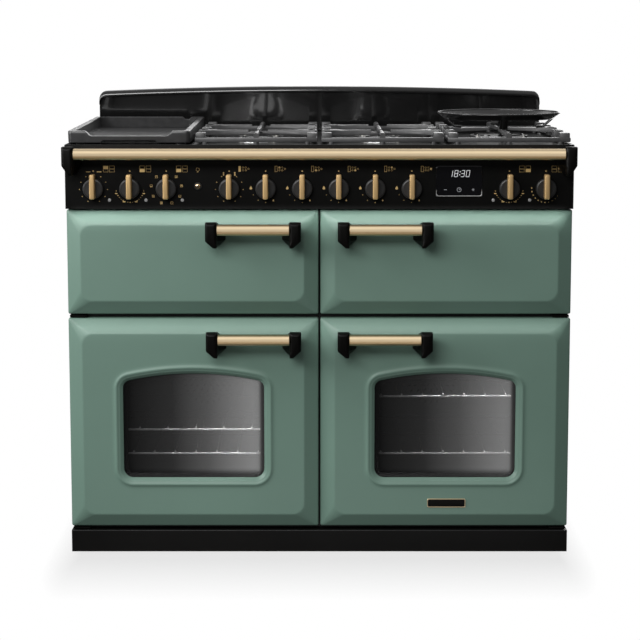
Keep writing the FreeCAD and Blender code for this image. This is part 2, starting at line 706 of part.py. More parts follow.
def socket_block(x, size, y0, y1):
    """Square control body with a blind hole for a spindle in its front."""
    half = size / 2
    body = box(x - half, x + half, y0, y1, KNOB_Z - half, KNOB_Z + half)
    hole = rod(SPINDLE + 2 * RUNNING, Vector(x, y0, KNOB_Z), Vector(x, y0 + SOCKET_DEPTH, KNOB_Z))
    return body.cut(hole)


def gas_taps():
    """Taps on the manifold, one behind each burner knob."""
    return Part.makeCompound([socket_block(x, TAP_SIZE, TAP_Y, MANIFOLD_Y) for x in gas_knob_row()])


def heat_controls():
    """Thermostats and switches fixed behind the fascia."""
    return Part.makeCompound([socket_block(x, CONTROL_SIZE, CONTROL_Y, CONTROL_Y + CONTROL_DEPTH)
                              for x in electric_knob_row()])


def gas_manifold():
    """Gas pipe behind the taps, with lugs on the front frame, run to the inlet at the back."""
    half = MANIFOLD_SIZE / 2
    y1 = MANIFOLD_Y + MANIFOLD_SIZE
    start = gas_knob_row()[0] - TAP_SIZE / 2 - LOOSE - MANIFOLD_SIZE
    rear = BACK_Y - SHEET - half
    pieces = [
        box(start, INLET_X + half, MANIFOLD_Y, y1, KNOB_Z - half, KNOB_Z + half),
        box(INLET_X - half, INLET_X + half, MANIFOLD_Y, rear, KNOB_Z - half, KNOB_Z + half),
        rod(INLET_DIAMETER, Vector(INLET_X, rear, KNOB_Z), Vector(INLET_X, BACK_Y, KNOB_Z)),
    ]
    bay_low = KNOB_Z - BAY_HALF_HEIGHT
    for x in (start + half, right_knob_row()[0] - KNOB_PITCH):
        pieces.append(box(x - half, x + half, FRAME_BACK_Y, y1, KNOB_Z - half - SHEET, KNOB_Z - half))
        pieces.append(box(x - half, x + half, FRAME_BACK_Y, FRAME_BACK_Y + SHEET,
                          bay_low - half, KNOB_Z - half))
    bore = rod(INLET_BORE, Vector(INLET_X, BACK_Y - INLET_DEPTH, KNOB_Z), Vector(INLET_X, BACK_Y, KNOB_Z))
    return fused(pieces).cut(bore)


# Handles and rail

def shield(x, y, z):
    """Bracket section: flat top, upright sides and a pointed bottom."""
    half = BRACKET_WIDTH / 2
    corners = [Vector(x - half, y, z + BRACKET_TOP), Vector(x + half, y, z + BRACKET_TOP),
               Vector(x + half, y, z - BRACKET_SIDE), Vector(x, y, z - BRACKET_POINT),
               Vector(x - half, y, z - BRACKET_SIDE)]
    return Part.makePolygon(corners + corners[:1])


def bracket(x, z, seat_y, inward, drop):
    """Post from a seat to the bar's end; the seat lies inward of the head and lower."""
    head_back = BAR_Y + BAR_RADIUS
    head = Part.Face(shield(x, BAR_Y - BAR_RADIUS, z)).extrude(Vector(0, BAR_DIAMETER, 0))
    post = Part.makeLoft([shield(x, head_back, z), shield(x + inward, seat_y, z - drop)], True, True)
    return fused([head, post])


def handle(side, top):
    """Bar and its two brackets on a front whose top edge is given; side is -1 left or 1 right."""
    x = side * HANDLE_CENTRE_X
    z = top - HANDLE_DROP
    half = HANDLE_BAR_LENGTH / 2
    out = half + BRACKET_WIDTH / 2
    bar = rod(BAR_DIAMETER, Vector(x - half, BAR_Y, z), Vector(x + half, BAR_Y, z))
    return Part.makeCompound([bar, bracket(x - out, z, FLAT_Y, FOOT_INWARD, FOOT_DROP),
                              bracket(x + out, z, FLAT_Y, -FOOT_INWARD, FOOT_DROP)])


def hob_rail():
    """Towel rail across the fascia."""
    return rod(BAR_DIAMETER, Vector(-RAIL_HALF, BAR_Y, RAIL_Z), Vector(RAIL_HALF, BAR_Y, RAIL_Z))


def rail_brackets():
    """Two brackets that hold the rail off the fascia."""
    out = RAIL_HALF + BRACKET_WIDTH / 2
    return Part.makeCompound([bracket(-out, RAIL_Z, FASCIA_Y, RAIL_FOOT_INWARD, RAIL_FOOT_DROP),
                              bracket(out, RAIL_Z, FASCIA_Y, -RAIL_FOOT_INWARD, RAIL_FOOT_DROP)])


# Fronts

def front_form(x0, x1, z0, z1, inset, back):
    """Solid of a pressed front: square rim, sloping bevel and raised flat, drawn in by an inset."""
    rim_y = RIM_Y + inset
    rim = front_wire(x0 + inset, x1 - inset, z0 + inset, z1 - inset, RIM_CORNER - inset / 2, rim_y)
    step = BEVEL_WIDTH + inset
    flat = front_wire(x0 + step, x1 - step, z0 + step, z1 - step, FLAT_CORNER, FLAT_Y + inset)
    edge = Part.Face(rim).extrude(Vector(0, back - rim_y, 0))
    return fused([edge, Part.makeLoft([rim, flat], True, True)])


def pressed_front(x0, x1, z0, z1, pin_x):
    """Hollow pressed front; with a pin place it has solid hinge blocks bored for the pins."""
    back = DOOR_BACK_Y - SHEET
    outer = front_form(x0, x1, z0, z1, 0, back)
    panel = outer.cut(front_form(x0, x1, z0, z1, SHEET, back))
    if pin_x is None:
        return panel
    blocks = []
    holes = []
    for low, start in ((z0, z0), (z1 - HINGE_BLOCK, z1 - PIN_LENGTH)):
        block = box(pin_x - HINGE_BLOCK, pin_x + HINGE_BLOCK, RIM_Y, back, low, low + HINGE_BLOCK)
        blocks.append(block.common(outer))
        holes.append(rod(PIN_DIAMETER + 2 * RUNNING, Vector(pin_x, HINGE_Y, start),
                         Vector(pin_x, HINGE_Y, start + PIN_LENGTH)))
    return cut_all(fused([panel] + blocks), holes)


def window_wire(x, y, grow):
    """Arched window outline round a middle x, grown outwards by a distance."""
    half = WINDOW_WIDTH / 2
    bottom = LOWER_Z + WINDOW_LIFT - grow
    arch = (half ** 2 + WINDOW_RISE ** 2) / (2 * WINDOW_RISE)
    arch_z = LOWER_Z + WINDOW_LIFT + WINDOW_SHOULDER + WINDOW_RISE - arch
    arch += grow
    half += grow
    low = WINDOW_LOW_CORNER + grow
    top = WINDOW_TOP_CORNER + grow
    side_z = arch_z + math.sqrt((arch - top) ** 2 - (half - top) ** 2)
    lean = math.atan2(side_z - arch_z, half - top)
    bend = lean / 2
    slack = low * (1 - math.sqrt(0.5))

    def at(across, z):
        return Vector(x + across, y, z)

    def shoulder(sign, angle):
        return at(sign * (half - top + top * math.cos(angle)), side_z + top * math.sin(angle))

    edges = [
        Part.LineSegment(at(-half + low, bottom), at(half - low, bottom)),
        Part.Arc(at(half - low, bottom), at(half - slack, bottom + slack), at(half, bottom + low)),
        Part.LineSegment(at(half, bottom + low), at(half, side_z)),
        Part.Arc(at(half, side_z), shoulder(1, bend), shoulder(1, lean)),
        Part.Arc(shoulder(1, lean), at(0, arch_z + arch), shoulder(-1, lean)),
        Part.Arc(shoulder(-1, lean), shoulder(-1, bend), at(-half, side_z)),
        Part.LineSegment(at(-half, side_z), at(-half, bottom + low)),
        Part.Arc(at(-half, bottom + low), at(-half + slack, bottom + slack), at(-half + low, bottom)),
    ]
    return Part.Wire([edge.toShape() for edge in edges])


def window_block(x, y0, y1, grow):
    """Window outline pushed from one depth to another."""
    return Part.Face(window_wire(x, y0, grow)).extrude(Vector(0, y1 - y0, 0))


def window_bead(x):
    """Raised rounded bead round a window."""
    front = FLAT_Y - BEAD_PROUD
    block = window_block(x, front, FLAT_Y + SHEET / 2, BEAD_WIDTH)
    rim = [edge for edge in block.Edges if edge.BoundBox.YMax < front + TINY]
    rounded = block.makeFillet(BEAD_ROUNDING, rim)
    opening = window_block(x, front, FLAT_Y + SHEET / 2, 0)
    return rounded.cut(opening)


def oven_door_panel(side):
    """Oven door front with its window and bead."""
    x = side * DOOR_X
    reach = DOOR_WIDTH / 2
    panel = pressed_front(x - reach, x + reach, LOWER_Z, LOWER_TOP_Z, side * HINGE_X)
    return fused([panel, window_bead(x)]).cut(window_block(x, FLAT_Y - BEAD_PROUD, RIM_Y, 0))


def door_liner(side, z0, z1):
    """Flat sheet that closes the back of a front."""
    x = side * DOOR_X
    reach = DOOR_WIDTH / 2 - LOOSE
    wire = front_wire(x - reach, x + reach, z0 + LOOSE, z1 - LOOSE, RIM_CORNER, DOOR_BACK_Y - SHEET)
    return Part.Face(wire).extrude(Vector(0, SHEET, 0))


def oven_door_liner(side):
    """Inner sheet of an oven door with its window opening."""
    liner = door_liner(side, LOWER_Z, LOWER_TOP_Z)
    return liner.cut(window_block(side * DOOR_X, DOOR_BACK_Y - SHEET, DOOR_BACK_Y, 0))


def door_glass(side):
    """Outer and inner panes of an oven door."""
    x = side * DOOR_X
    outer_y = FLAT_Y + SHEET
    inner_y = DOOR_BACK_Y - SHEET
    return Part.makeCompound([window_block(x, outer_y, outer_y + GLASS, GLASS_LAP),
                              window_block(x, inner_y - GLASS, inner_y, GLASS_LAP)])


def hinge_brackets():
    """Plates on the front frame with the pins that the doors turn on."""
    lower_z = LOWER_Z - (LOWER_GAP + HINGE_PLATE) / 2
    middle_z = LOWER_TOP_Z + (MIDDLE_GAP - HINGE_PLATE) / 2
    upper_z = FASCIA_Z + SHEET
    reach = PIN_LENGTH - PIN_END_GAP

    def plate(side, low, pin_low, pin_high):
        x = side * HINGE_X
        ends = sorted((x - side * 2 * HINGE_BLOCK, x + side * (PIN_DIAMETER / 2 + SHEET)))
        flat = box(ends[0], ends[1], HINGE_Y - PIN_DIAMETER, FRAME_Y, low, low + HINGE_PLATE)
        pin = rod(PIN_DIAMETER, Vector(x, HINGE_Y, pin_low), Vector(x, HINGE_Y, pin_high))
        return fused([flat, pin])

    return Part.makeCompound([
        plate(-1, lower_z, lower_z, LOWER_Z + reach),
        plate(1, lower_z, lower_z, LOWER_Z + reach),
        plate(-1, middle_z, LOWER_TOP_Z - reach, UPPER_Z + reach),
        plate(1, middle_z, LOWER_TOP_Z - reach, middle_z + HINGE_PLATE),
        plate(-1, upper_z, UPPER_TOP_Z - reach, upper_z + HINGE_PLATE),
    ])


def door_seals():
    """Seal strips on the front frame round the three heated compartments."""
    seals = []
    for side, upper in ((-1, False), (1, False), (-1, True)):
        x0, x1, y0, y1, z0, z1 = compartment(side, upper)
        wide = SEAL_WIDTH + SHEET
        outer = box(x0 - wide, x1 + wide, FRAME_Y - SEAL_GAP + LOOSE, FRAME_Y, z0 - wide, z1 + wide)
        inner = box(x0 - SHEET, x1 + SHEET, FRAME_Y - SEAL_GAP, FRAME_Y, z0 - SHEET, z1 + SHEET)
        seals.append(outer.cut(inner))
    return Part.makeCompound(seals)


# Inside the compartments

def oven_shelf(side, height):
    """Wire shelf lying on the ledges of an oven."""
    x0, x1, y0, y1, z0, z1 = compartment(side, False)
    z = z0 + height + SHELF_BAR / 2
    left = x0 + SHELF_BAR
    right = x1 - SHELF_BAR
    front = y0 + LEDGE + SHELF_BAR
    rear = front + SHELF_DEPTH
    corners = [Vector(left, front, z), Vector(right, front, z), Vector(right, rear, z), Vector(left, rear, z)]
    bars = [rod(SHELF_BAR, start, end) for start, end in zip(corners, corners[1:] + corners[:1])]
    bars += [Part.makeSphere(SHELF_BAR / 2, corner) for corner in corners]
    step = (right - left) / (SHELF_WIRES + 1)
    for number in range(1, SHELF_WIRES + 1):
        x = left + step * number
        bars.append(rod(SHELF_WIRE, Vector(x, front, z), Vector(x, rear, z)))
    return fused(bars)


def oven_shelves():
    """Two wire shelves in each oven."""
    shelves = [oven_shelf(-1, height) for height in LEFT_SHELF_HEIGHTS]
    shelves += [oven_shelf(1, height) for height in RIGHT_SHELF_HEIGHTS]
    return Part.makeCompound(shelves)


def grill_pan():
    """Shallow pan on the ledges of the grill cavity."""
    x0, x1, y0, y1, z0, z1 = compartment(-1, True)
    low = z0 + GRILL_LEDGE
    pan = box(x0 + SHEET, x1 - SHEET, y0 + LEDGE, y1 - 2 * LEDGE, low, low + GRILL_PAN_HEIGHT)
    hollow = box(x0 + 2 * SHEET, x1 - 2 * SHEET, y0 + LEDGE + SHEET, y1 - 2 * LEDGE - SHEET,
                 low + SHEET, low + GRILL_PAN_HEIGHT)
    return pan.cut(hollow)


def ring_element(side):
    """Ring heater on two tails from the back wall of an oven."""
    x0, x1, y0, y1, z0, z1 = compartment(side, False)
    x = (x0 + x1) / 2
    z = (z0 + z1) / 2
    y = y1 - 2 * ELEMENT_DIAMETER
    ring = Part.makeTorus(ELEMENT_RING_RADIUS, ELEMENT_DIAMETER / 2, Vector(x, y, z), Vector(0, 1, 0))
    aside = 2 * ELEMENT_DIAMETER
    tail_z = z - math.sqrt(ELEMENT_RING_RADIUS ** 2 - aside ** 2)
    tails = [rod(ELEMENT_TAIL, Vector(place, y, tail_z), Vector(place, y1, tail_z))
             for place in (x - aside, x + aside)]
    return fused([ring] + tails)


def grill_element():
    """Hairpin heater under the grill roof, on tails from the back wall."""
    x0, x1, y0, y1, z0, z1 = compartment(-1, True)
    z = z1 - 2 * ELEMENT_DIAMETER
    x = (x0 + x1) / 2
    front = y0 + GRILL_ELEMENT_INSET
    rear = y1 - GRILL_ELEMENT_INSET
    lanes = [x + GRILL_LANE_PITCH * step for step in (-1.5, -0.5, 0.5, 1.5)]
    corners = [Vector(lanes[0], y1, z), Vector(lanes[0], front, z), Vector(lanes[1], front, z),
               Vector(lanes[1], rear, z), Vector(lanes[2], rear, z), Vector(lanes[2], front, z),
               Vector(lanes[3], front, z), Vector(lanes[3], y1, z)]
    pieces = [rod(ELEMENT_DIAMETER, start, end) for start, end in zip(corners, corners[1:])]
    pieces += [Part.makeSphere(ELEMENT_DIAMETER / 2, corner) for corner in corners[1:-1]]
    return fused(pieces)


def heating_elements():
    """Heaters of both ovens and the grill."""
    return Part.makeCompound([ring_element(-1), ring_element(1), grill_element()])


def drawer_runners():
    """Fixed rails on the side walls of the drawer housing."""
    x0, x1, y0, y1, z0, z1 = compartment(1, True)
    low = z0 + RUNNER_LIFT
    return Part.makeCompound([
        box(x0, x0 + RUNNER_WIDTH, y0 + LEDGE, y1, low, low + RUNNER_HEIGHT),
        box(x1 - RUNNER_WIDTH, x1, y0 + LEDGE, y1, low, low + RUNNER_HEIGHT),
    ])


def drawer_box():
    """Open box behind the drawer front, with side lips that ride on the runners."""
    x0, x1, y0, y1, z0, z1 = compartment(1, True)
    left = x0 + RUNNER_WIDTH + LOOSE
    right = x1 - RUNNER_WIDTH - LOOSE
    low = z0 + DRAWER_LIFT
    top = low + DRAWER_SIDE
    front = DOOR_BACK_Y
    rear = front + DRAWER_DEPTH
    lip = z0 + RUNNER_LIFT + RUNNER_HEIGHT + LOOSE
    walls = box(left, right, front, rear, low, top)
    lip_reach = RUNNER_WIDTH - SHEET
    left_lip = box(left - lip_reach, left, front, rear, lip, lip + SHEET)
    right_lip = box(right, right + lip_reach, front, rear, lip, lip + SHEET)
    hollow = box(left + SHEET, right - SHEET, front, rear - SHEET, low + SHEET, top)
    back_sheet = door_liner(1, UPPER_Z, UPPER_TOP_Z)
    return fused([fused([walls, left_lip, right_lip]).cut(hollow), back_sheet])


def upper_front(side, pin_x):
    """Plain pressed front of the grill door or the drawer."""
    x = side * DOOR_X
    reach = DOOR_WIDTH / 2
    return pressed_front(x - reach, x + reach, UPPER_Z, UPPER_TOP_Z, pin_x)


PIECES = {
    "base_tray": base_tray(),
    "levelling_feet": levelling_feet(),
    "plinth": plinth(),
    "side_panels": side_panels(),
    "back_panel": back_panel(),
    "front_frame": front_frame(),
    "left_oven_cavity": cavity(-1, False, LEFT_SHELF_HEIGHTS),
    "right_oven_cavity": cavity(1, False, RIGHT_SHELF_HEIGHTS),
    "grill_cavity": cavity(-1, True, (GRILL_LEDGE,)),
    "drawer_housing": cavity(1, True, ()),
    "drawer_runners": drawer_runners(),
    "oven_shelves": oven_shelves(),
    "grill_pan": grill_pan(),
    "heating_elements": heating_elements(),
    "door_seals": door_seals(),
    "hinge_brackets": hinge_brackets(),
    "hob_tray": hob_tray(),
    "backguard": backguard(),
    "burner_bodies": burner_bodies(),
    "burner_caps": burner_caps(),
    "hot_plate": hot_plate(),
    "griddle": griddle(),
    "left_pan_support": pan_support(-SUPPORT_PITCH / 2, PAIR_YS),
    "centre_pan_support": pan_support(SUPPORT_PITCH / 2, PAIR_YS),
    "wok_pan_support": pan_support(WOK_X, (HOB_CENTRE_Y,)),
    "wok_cradle": wok_cradle(),
    "fascia": fascia(),
    "clock_display": clock_display(),
    "indicator_lamps": indicator_lamps(),
    "lamp_button": lamp_button(),
    "gas_taps": gas_taps(),
    "heat_controls": heat_controls(),
    "gas_manifold": gas_manifold(),
    "hob_rail": hob_rail(),
    "rail_brackets": rail_brackets(),
    "left_door_panel": oven_door_panel(-1),
    "left_door_liner": oven_door_liner(-1),
    "left_door_glass": door_glass(-1),
    "left_door_handle": handle(-1, LOWER_TOP_Z),
    "right_door_panel": oven_door_panel(1),
    "right_door_liner": oven_door_liner(1),
    "right_door_glass": door_glass(1),
    "right_door_handle": handle(1, LOWER_TOP_Z),
    "grill_door_panel": upper_front(-1, -HINGE_X),
    "grill_door_liner": door_liner(-1, UPPER_Z, UPPER_TOP_Z),
    "grill_door_handle": handle(-1, UPPER_TOP_Z),
    "drawer_front": upper_front(1, None),
    "drawer_box": drawer_box(),
    "drawer_handle": handle(1, UPPER_TOP_Z),
}

KNOB_NAMES = (
    "grill_knob", "left_oven_knob", "oven_function_knob", "griddle_knob", "left_rear_burner_knob",
    "left_front_burner_knob", "centre_front_burner_knob", "centre_rear_burner_knob", "wok_burner_knob",
    "right_oven_knob", "drawer_knob",
)
for name, place in zip(KNOB_NAMES, knob_row()):
    socket = TAP_Y if place in gas_knob_row() else CONTROL_Y
    PIECES[name] = knob(place, socket + SPINDLE_REACH)

os.makedirs("parts", exist_ok=True)
for name, piece in PIECES.items():
    piece.exportStep("parts/" + name + ".step")
    print(name, "solids", len(piece.Solids), "valid", piece.isValid())
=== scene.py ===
# %% [markdown]
# A range cooker in enamel, brass and cast iron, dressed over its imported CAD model.
# The frame gives every solid at its real place in metres. Nearly every mesh here takes its place from
# a CAD box, and each one rides on the body that the CAD joints move.

# %% Load the frame
from contextlib import contextmanager
import math
import bmesh
import bpy
from mathutils import Matrix, Vector


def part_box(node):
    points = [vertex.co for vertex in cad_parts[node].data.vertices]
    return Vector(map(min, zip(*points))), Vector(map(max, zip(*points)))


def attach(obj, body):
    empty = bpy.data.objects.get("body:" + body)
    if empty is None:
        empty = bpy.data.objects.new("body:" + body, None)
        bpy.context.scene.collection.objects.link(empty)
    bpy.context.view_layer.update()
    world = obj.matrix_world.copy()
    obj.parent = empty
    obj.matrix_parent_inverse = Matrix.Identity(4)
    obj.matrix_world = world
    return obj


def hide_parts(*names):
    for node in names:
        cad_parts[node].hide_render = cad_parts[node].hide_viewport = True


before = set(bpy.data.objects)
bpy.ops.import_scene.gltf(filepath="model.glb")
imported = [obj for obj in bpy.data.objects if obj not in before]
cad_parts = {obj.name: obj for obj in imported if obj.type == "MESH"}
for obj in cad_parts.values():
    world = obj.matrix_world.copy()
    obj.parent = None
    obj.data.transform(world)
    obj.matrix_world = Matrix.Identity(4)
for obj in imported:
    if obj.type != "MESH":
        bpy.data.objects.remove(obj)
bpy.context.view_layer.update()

MM = 0.001

# %% [markdown]
# The camera stands in front of the doors, a little above the hob, and looks slightly down.
# A small lens shift takes part of that tilt away, so that the sides of the cooker stay nearly upright.

# %% Camera
CAMERA_PLACE = (0.0013, -3.9937, 1.1510)
CAMERA_TILT = math.radians(90 - 7.01)
LENS = 98.0
LENS_SHIFT = -0.12

camera_data = bpy.data.cameras.new("camera")
camera_data.lens = LENS
camera_data.shift_y = LENS_SHIFT
camera = bpy.data.objects.new("camera", camera_data)
camera.location = CAMERA_PLACE
camera.rotation_euler = (CAMERA_TILT, 0, 0)
bpy.context.scene.collection.objects.link(camera)
bpy.context.scene.camera = camera
print("camera at", CAMERA_PLACE, "lens", LENS)

# %% [markdown]
# A product photograph is lit by large soft boxes. The main one hangs high in front, to the left, and makes
# the upper bevels bright. A side one lifts the left faces, and two behind the cooker draw its edges.
# The surroundings are dark near the floor and pale overhead, and only the camera sees them as white.
# A photographer also sets boxes and cards for single pieces. Light linking does that here: two boxes reach
# only the cast iron, and the brass bars mirror two pale cards in place of the hard glare of the main box.

# %% Light
def lit_group(lamp, name):
    """Collection of the pieces that a lamp reaches, or leaves out; it is filled later."""
    group = bpy.data.collections.new(name)
    lamp.light_linking.receiver_collection = group
    return group


def soft_box(name, place, target, width, height, power):
    """Area light that faces a target."""
    data = bpy.data.lights.new(name, "AREA")
    data.shape = "RECTANGLE"
    data.size = width
    data.size_y = height
    data.energy = power
    lamp = bpy.data.objects.new(name, data)
    lamp.location = place
    lamp.rotation_euler = (Vector(target) - Vector(place)).to_track_quat("-Z", "Y").to_euler()
    bpy.context.scene.collection.objects.link(lamp)
    return lamp


MIDDLE = (0.0, 0.0, 0.5)
HOB_MIDDLE = (0.0, 0.0, 0.92)
HOB_FRONT = (0.0, -0.1, 0.93)
RAIL_FRONT = (0.0, -0.36, 0.95)
ABOVE_FLOOR_CARD = (0.0, -1.0, 1.0)
WARM_FLOOR = (1.0, 0.78, 0.5)

overhead_box = soft_box("overhead_box", (-1.1, -2.9, 2.15), MIDDLE, 2.2, 0.8, 56)
soft_box("left_box", (-2.3, -1.0, 1.6), MIDDLE, 1.0, 1.4, 40)
soft_box("back_box", (0.0, 2.4, 2.8), MIDDLE, 3.0, 1.0, 10)
soft_box("rear_box", (0.8, 2.8, 0.9), MIDDLE, 2.0, 1.4, 22)
hob_box = soft_box("hob_box", (0.9, 2.0, 2.0), HOB_MIDDLE, 1.6, 0.8, 15)
HOB_IRON = lit_group(hob_box, "hob_iron")
rim_box = soft_box("rim_box", (0.0, 2.2, 1.55), HOB_FRONT, 2.4, 0.25, 9)
HOB_RIMS = lit_group(rim_box, "hob_rims")
brass_card = soft_box("brass_card", (0.0, -2.5, 1.6), RAIL_FRONT, 5.0, 6.0, 60)
brass_floor = soft_box("brass_floor", (0.0, -1.0, 0.01), ABOVE_FLOOR_CARD, 5.0, 1.2, 4)
brass_floor.data.color = WARM_FLOOR
BRASS_LIT = [lit_group(brass_card, "card_on_brass"), lit_group(brass_floor, "floor_on_brass")]
ALL_BUT_BRASS = lit_group(overhead_box, "all_but_brass")


def light_as_brass(bar):
    """Gives a bar the two cards to mirror, in place of the hard glare of the overhead box."""
    for group in BRASS_LIT:
        group.objects.link(bar)
    ALL_BUT_BRASS.objects.link(bar)
    for member in ALL_BUT_BRASS.collection_objects:
        member.light_linking.link_state = "EXCLUDE"


def light_as_iron(casting):
    """Lets the two boxes for cast iron reach a piece."""
    HOB_IRON.objects.link(casting)
    HOB_RIMS.objects.link(casting)


WHITE = (1.0, 1.0, 1.0, 1.0)
HORIZON_GREY = (0.09, 0.09, 0.09, 1.0)
HORIZON = 0.12
CEILING = 0.75
ROOM_STRENGTH = 0.55


def studio_world():
    """Surroundings that light the scene from a dim horizon to a pale ceiling, white to the camera alone."""
    world = bpy.data.worlds.new("studio")
    world.use_nodes = True
    nodes = world.node_tree.nodes
    links = world.node_tree.links
    felt = nodes["Background"]
    felt.inputs["Strength"].default_value = ROOM_STRENGTH
    direction = nodes.new("ShaderNodeTexCoord")
    height = nodes.new("ShaderNodeSeparateXYZ")
    sky = nodes.new("ShaderNodeValToRGB")
    for stop, place, colour in zip(sky.color_ramp.elements, (HORIZON, CEILING), (HORIZON_GREY, WHITE)):
        stop.position = place
        stop.color = colour
    links.new(direction.outputs["Generated"], height.inputs["Vector"])
    links.new(height.outputs["Z"], sky.inputs["Fac"])
    links.new(sky.outputs["Color"], felt.inputs["Color"])
    seen = nodes.new("ShaderNodeBackground")
    seen.inputs["Color"].default_value = WHITE
    path = nodes.new("ShaderNodeLightPath")
    blend = nodes.new("ShaderNodeMixShader")
    links.new(path.outputs["Is Camera Ray"], blend.inputs["Fac"])
    links.new(felt.outputs["Background"], blend.inputs[1])
    links.new(seen.outputs["Background"], blend.inputs[2])
    links.new(blend.outputs["Shader"], nodes["World Output"].inputs["Surface"])
    return world


bpy.context.scene.world = studio_world()
bpy.context.scene.view_settings.view_transform = "Standard"

# %% [markdown]
# Every finish is a small node tree on one shader. The recipe is the same each time: a base colour
# that drifts a little over the piece, a roughness that is never quite even, and mostly a fine bump.
# The noise reads Object coordinates, which are metres here, so a scale of 100 means centimetre-sized spots.

# %% Finish helper
BUMP_DEPTH = 0.6 * MM
SMOOTHEST = 0.02
DRIFT_BAND = (0.3, 0.7)


def mapped(material, value, low, high, to_low=0.0, to_high=1.0):
    """Node that maps a value between two limits onto another range."""
    node = material.node_tree.nodes.new("ShaderNodeMapRange")
    limits = {"From Min": low, "From Max": high, "To Min": to_low, "To Max": to_high}
    for label, limit in limits.items():
        node.inputs[label].default_value = limit
    material.node_tree.links.new(value, node.inputs["Value"])
    return node


def finish(name, colour, rough, metal=0.0, drift=0.06, drift_scale=6.0, rough_drift=0.05, rough_scale=40.0,
           bump=0.0, bump_scale=400.0, stretch=(1, 1, 1), coat=0.0, coat_rough=0.05, specular=0.5):
    """Principled finish with colour drift, uneven roughness and fine bump."""
    material = bpy.data.materials.new(name)
    material.use_nodes = True
    nodes = material.node_tree.nodes
    links = material.node_tree.links
    shader = nodes["Principled BSDF"]
    shader.inputs["Metallic"].default_value = metal
    shader.inputs["Coat Weight"].default_value = coat
    shader.inputs["Coat Roughness"].default_value = coat_rough
    shader.inputs["Specular IOR Level"].default_value = specular
    place = nodes.new("ShaderNodeTexCoord")
    mapping = nodes.new("ShaderNodeMapping")
    mapping.inputs["Scale"].default_value = stretch
    links.new(place.outputs["Object"], mapping.inputs["Vector"])

    def noise(scale, detail):
        node = nodes.new("ShaderNodeTexNoise")
        node.inputs["Scale"].default_value = scale
        node.inputs["Detail"].default_value = detail
        links.new(mapping.outputs["Vector"], node.inputs["Vector"])
        return node

    ramp = nodes.new("ShaderNodeValToRGB")
    dark = tuple(channel * (1 - drift) for channel in colour)
    light = tuple(min(1.0, channel * (1 + drift)) for channel in colour)
    for stop, place_on_ramp, tone in zip(ramp.color_ramp.elements, DRIFT_BAND, (dark, light)):
        stop.position = place_on_ramp
        stop.color = (*tone, 1)
    links.new(noise(drift_scale, 3).outputs["Fac"], ramp.inputs["Fac"])
    links.new(ramp.outputs["Color"], shader.inputs["Base Color"])

    smooth = max(SMOOTHEST, rough - rough_drift)
    spread = mapped(material, noise(rough_scale, 4).outputs["Fac"], 0, 1, smooth, rough + rough_drift)
    links.new(spread.outputs["Result"], shader.inputs["Roughness"])

    if bump:
        relief = nodes.new("ShaderNodeBump")
        relief.inputs["Strength"].default_value = bump
        relief.inputs["Distance"].default_value = BUMP_DEPTH
        links.new(noise(bump_scale, 2).outputs["Fac"], relief.inputs["Height"])
        links.new(relief.outputs["Normal"], shader.inputs["Normal"])
    return material


def object_axes(material):
    """Node that splits a material's Object coordinates into X, Y and Z."""
    place = material.node_tree.nodes.new("ShaderNodeTexCoord")
    axes = material.node_tree.nodes.new("ShaderNodeSeparateXYZ")
    material.node_tree.links.new(place.outputs["Object"], axes.inputs["Vector"])
    return axes


def vector_step(material, operation, value, other=None):
    """Node for one step of arithmetic on a vector; the other operand is constant."""
    node = material.node_tree.nodes.new("ShaderNodeVectorMath")
    node.operation = operation
    material.node_tree.links.new(value, node.inputs[0])
    if other:
        node.inputs[1].default_value = other
    return node


def shade_colour(material, colour, factor):
    """Sends a colour to the shader, multiplied by a factor that varies over the surface."""
    links = material.node_tree.links
    shade = vector_step(material, "SCALE", colour)
    links.new(factor, shade.inputs["Scale"])
    links.new(shade.outputs["Vector"], material.node_tree.nodes["Principled BSDF"].inputs["Base Color"])


def plain_glow(name, colour, strength):
    """Lit marking on a display."""
    material = finish(name, colour, 0.4)
    shader = material.node_tree.nodes["Principled BSDF"]
    shader.inputs["Emission Color"].default_value = (*colour, 1)
    shader.inputs["Emission Strength"].default_value = strength
    return material


# %% [markdown]
# The cooker has a short list of finishes. Vitreous enamel is glass fused onto steel, so it is a
# coloured base under a clear coat with a faint ripple. Brushed brass is a metal whose noise is stretched
# along the bar, and cast iron is dark, rough and pebbled.

# %% Finishes
ALONG_X = (0.04, 1, 1)
ALONG_Z = (1, 1, 0.04)
green_enamel = finish("green_enamel", (0.150, 0.245, 0.198), 0.5, drift=0.03, bump=0.05, bump_scale=260,
                      coat=0.15, coat_rough=0.3, specular=0.4)
black_enamel = finish("black_enamel", (0.006, 0.006, 0.006), 0.16, drift=0.2, bump=0.03, bump_scale=220,
                      coat=0.5, coat_rough=0.04)
hob_enamel = finish("hob_enamel", (0.005, 0.005, 0.005), 0.34, drift=0.2, bump=0.03, bump_scale=220,
                    specular=0.3)
fascia_enamel = finish("fascia_enamel", (0.003, 0.003, 0.0027), 0.36, drift=0.2, bump=0.04, bump_scale=600,
                       specular=0.16)
plinth_enamel = finish("plinth_enamel", (0.0038, 0.0035, 0.0033), 0.42, drift=0.2, bump=0.05, bump_scale=500,
                       specular=0.22)
side_enamel = finish("side_enamel", (0.012, 0.012, 0.012), 0.42, drift=0.15, bump=0.15, bump_scale=900)
oven_enamel = finish("oven_enamel", (0.10, 0.10, 0.105), 0.32, drift=0.5, drift_scale=900, bump=0.1)
brass = finish("champagne_brass", (0.78, 0.62, 0.40), 0.30, metal=1.0, drift=0.04, drift_scale=900,
               rough_scale=1200, rough_drift=0.04, bump=0.004, bump_scale=1600, stretch=ALONG_X)
grip_brass = finish("grip_brass", (0.72, 0.49, 0.23), 0.48, metal=0.7, drift=0.04, drift_scale=900,
                    rough_scale=1200, rough_drift=0.06, bump=0.05, bump_scale=1600, stretch=ALONG_Z)
